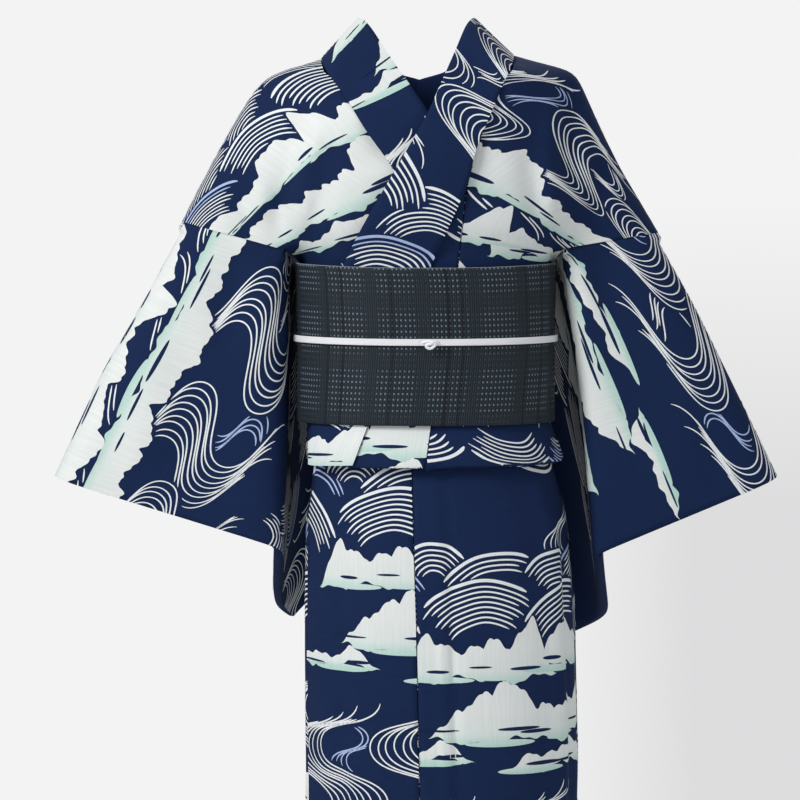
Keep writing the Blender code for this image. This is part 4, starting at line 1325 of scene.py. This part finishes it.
def ring_band(name, top, bottom, off, segments, rows):
    """A closed band round the waist between two heights, its columns evenly spaced from behind."""
    shares = (np.linspace(0, 1, segments + 1) + 0.5) % 1
    angles = np.interp(shares, RING_MARKS, RING_ANGLES)
    grid = np.array([[ring_point(a, top(a) + (bottom(a) - top(a)) * v, off(a)) for a in angles]
                     for v in np.linspace(0, 1, rows)])
    return Panel(name, grid, rows_length(grid), 0.80, (rows // 2, segments // 2)).finish()


def front_share(angle):
    """1 at the middle of the front, falling to 0 at the sides and behind."""
    return max(0, math.cos(angle)) ** 2


def close_ring(obj):
    """Join the first and last column of a band."""
    weld = obj.modifiers.new("weld", "WELD")
    weld.merge_threshold = 0.00005
    obj.modifiers.move(1, 0)


def round_edges(obj, width, segments):
    """Round off the sharp edges of a piece."""
    edge = obj.modifiers.new("edge", "BEVEL")
    edge.width = width
    edge.segments = segments
    edge.angle_limit = math.radians(50)


def make_obi():
    """The obi's wrap and its flat knot behind."""
    panel = ring_band("obi", lambda a: OBI_TOP_Z - OBI_TOP_DIP * front_share(a), lambda a: OBI_BOTTOM_Z,
                      lambda a: OBI_OFF, 240, 29)
    wrap = shell(panel, "obi_wrap_cloth", OBI, OBI_WALL * 0.9)
    close_ring(wrap)
    round_edges(wrap, 0.0006, 2)
    declare(wrap, "obi_wrap")

    grid = []
    for v in np.linspace(0, 1, 33):
        z = OBI_TOP_Z - 0.001 + (OBI_BOTTOM_Z - OBI_TOP_Z + 0.002) * v
        cx, half, _, back = ring_at(z)
        off = OBI_OFF + 0.5 * OBI_WALL + 0.5 * KNOT_DEPTH + 0.0008
        across = (np.linspace(0, 1, 31) - 0.5) * KNOT_WIDTH
        depth = (back + off) * (1 - (abs(across) / (half + off)) ** RING_POWER) ** (1 / RING_POWER)
        grid.append([(cx - x, y, z) for x, y in zip(across, depth)])
    grid = np.array(grid)
    card = Panel("obi_knot", grid, rows_length(grid), KNOT_WIDTH, (16, 15), (0, 1, 0))
    knot = shell(card.finish(), "obi_knot_cloth", OBI, KNOT_DEPTH * 0.9)
    round_edges(knot, 0.004, 4)
    declare(knot, "obi_knot")


def make_cord():
    """The flat cord round the obi, which rises over the knot behind."""
    band = ring_band("cord", lambda a: CORD_Z - 0.002 * front_share(a) + 0.5 * CORD_WIDTH,
                     lambda a: CORD_Z - 0.002 * front_share(a) - 0.5 * CORD_WIDTH,
                     lambda a: CORD_OFF + (KNOT_DEPTH + 0.0030) * smooth(-0.60, -0.85, math.cos(a)), 260, 5)
    braid = shell(band, "obi_cord_braid", CORD, CORD_WALL * 0.85)
    close_ring(braid)
    round_edges(braid, 0.0009, 3)
    declare(braid, "obi_cord")


def make_cord_knot():
    """The cord's knot: a half hitch of the flat braid with one tucked loop."""
    low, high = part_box("obi_cord_knot")
    middle = (Vector(low) + Vector(high)) / 2
    size = Vector(high) - Vector(low)
    curve = bpy.data.curves.new("obi_cord_hitch", "CURVE")
    curve.dimensions = "3D"
    curve.bevel_depth = 0.0017
    curve.bevel_resolution = 4
    curve.resolution_u = 8
    curve.use_fill_caps = True
    # along, out and up in shares of the knot's half size
    route = ((-1.00, 0.55, 0.30), (-0.62, 0.05, 0.52), (-0.05, -0.35, 0.62), (0.48, -0.45, 0.18),
             (0.20, -0.35, -0.50), (-0.30, -0.40, -0.66), (-0.52, -0.55, -0.16), (-0.05, -0.85, 0.16),
             (0.42, -0.60, 0.52), (0.85, 0.00, 0.34), (1.00, 0.55, 0.06))
    spline = curve.splines.new("BEZIER")
    spline.bezier_points.add(len(route) - 1)
    for point, (x, y, z) in zip(spline.bezier_points, route):
        point.co = middle + Vector((x * size.x * 1.35, y * size.y, z * size.z * 1.1)) * 0.5 * 0.92
        point.handle_left_type = "AUTO"
        point.handle_right_type = "AUTO"
    hitch = placed("obi_cord_hitch", curve)
    curve.materials.append(CORD)
    declare(hitch, "obi_cord_knot")


# ---------------------------------------------------------------- floor, backdrop, lights and camera
LAMPS = (
    # name, place, size, power
    ("key", (-2.1, -2, 1.4), 1.2, 68),
    ("fill", (2, -2.4, 0.2), 1.8, 9),
    ("back", (0.6, 2.6, 1.2), 2, 26),
)


def make_floor():
    """A plain pale floor under the hem."""
    mesh = bpy.data.meshes.new("floor")
    form = bmesh.new()
    bmesh.ops.create_grid(form, x_segments=1, y_segments=1, size=1.5)
    form.to_mesh(mesh)
    form.free()
    material = bpy.data.materials.new("floor")
    material.use_nodes = True
    shader = material.node_tree.nodes["Principled BSDF"]
    shader.inputs["Base Color"].default_value = (0.82, 0.82, 0.82, 1)
    shader.inputs["Roughness"].default_value = 0.9
    mesh.materials.append(material)
    floor = placed("floor", mesh)
    floor.location = (0, 0, CAD_BOX[0][2] - 0.002)


def make_world():
    """A soft light from all round, and a pale backdrop with a painted soft shadow low down on the right."""
    world = bpy.data.worlds.new("studio")
    bpy.context.scene.world = world
    world.use_nodes = True
    world.node_tree.nodes.clear()
    air = Nodes(world.node_tree)
    around = air.add("TexCoord").outputs["Generated"]
    x, y, z = air.add("SeparateXYZ", Vector=around).outputs[:3]
    # painted shadow: the backdrop seen by the camera is darkened to the right and low down, behind the robe
    right = air.times(air.plus(x, -0.045), 16, clamp=True)
    low = air.times(air.calc("SUBTRACT", 0.02, z), 9, clamp=True)
    shade = air.times(air.times(right, low), air.calc("GREATER_THAN", y, 0.9))
    backdrop = air.blend(shade, (0.895, 0.895, 0.90), (0.72, 0.72, 0.73))
    seen = air.add("Background", Color=backdrop, Strength=1)
    lit = air.add("Background", Color=(0.93, 0.95, 1, 1), Strength=0.46)
    mix = air.add("MixShader", Fac=air.add("LightPath").outputs["Is Camera Ray"])
    air.put(mix.inputs[1], lit.outputs[0])
    air.put(mix.inputs[2], seen.outputs[0])
    air.add("OutputWorld", Surface=mix.outputs[0])


def aimed(name, data, place):
    """A lamp or camera at a place, turned to the middle of the view."""
    obj = placed(name, data)
    obj.location = place
    obj.rotation_euler = (VIEW_MIDDLE - Vector(place)).to_track_quat("-Z", "Y").to_euler()
    return obj


def make_lights():
    """Three soft lamps."""
    for name, place, size, power in LAMPS:
        light = bpy.data.lights.new(name, "AREA")
        light.size = size
        light.energy = power
        aimed(name, light, place)


def make_camera():
    """The camera, at the photograph's viewing angle."""
    camera = bpy.data.cameras.new("camera")
    camera.lens = 122.7
    camera.sensor_width = 36
    camera.clip_start = 0.1
    camera.clip_end = 50
    bpy.context.scene.camera = aimed("camera", camera, (-0.022, -2.996, -0.217))
    bpy.context.scene.view_settings.view_transform = "Standard"


make_bodies()
make_collar()
make_skirt()
make_sleeves()
make_obi()
make_cord()
make_cord_knot()
make_floor()
make_world()
make_lights()
make_camera()
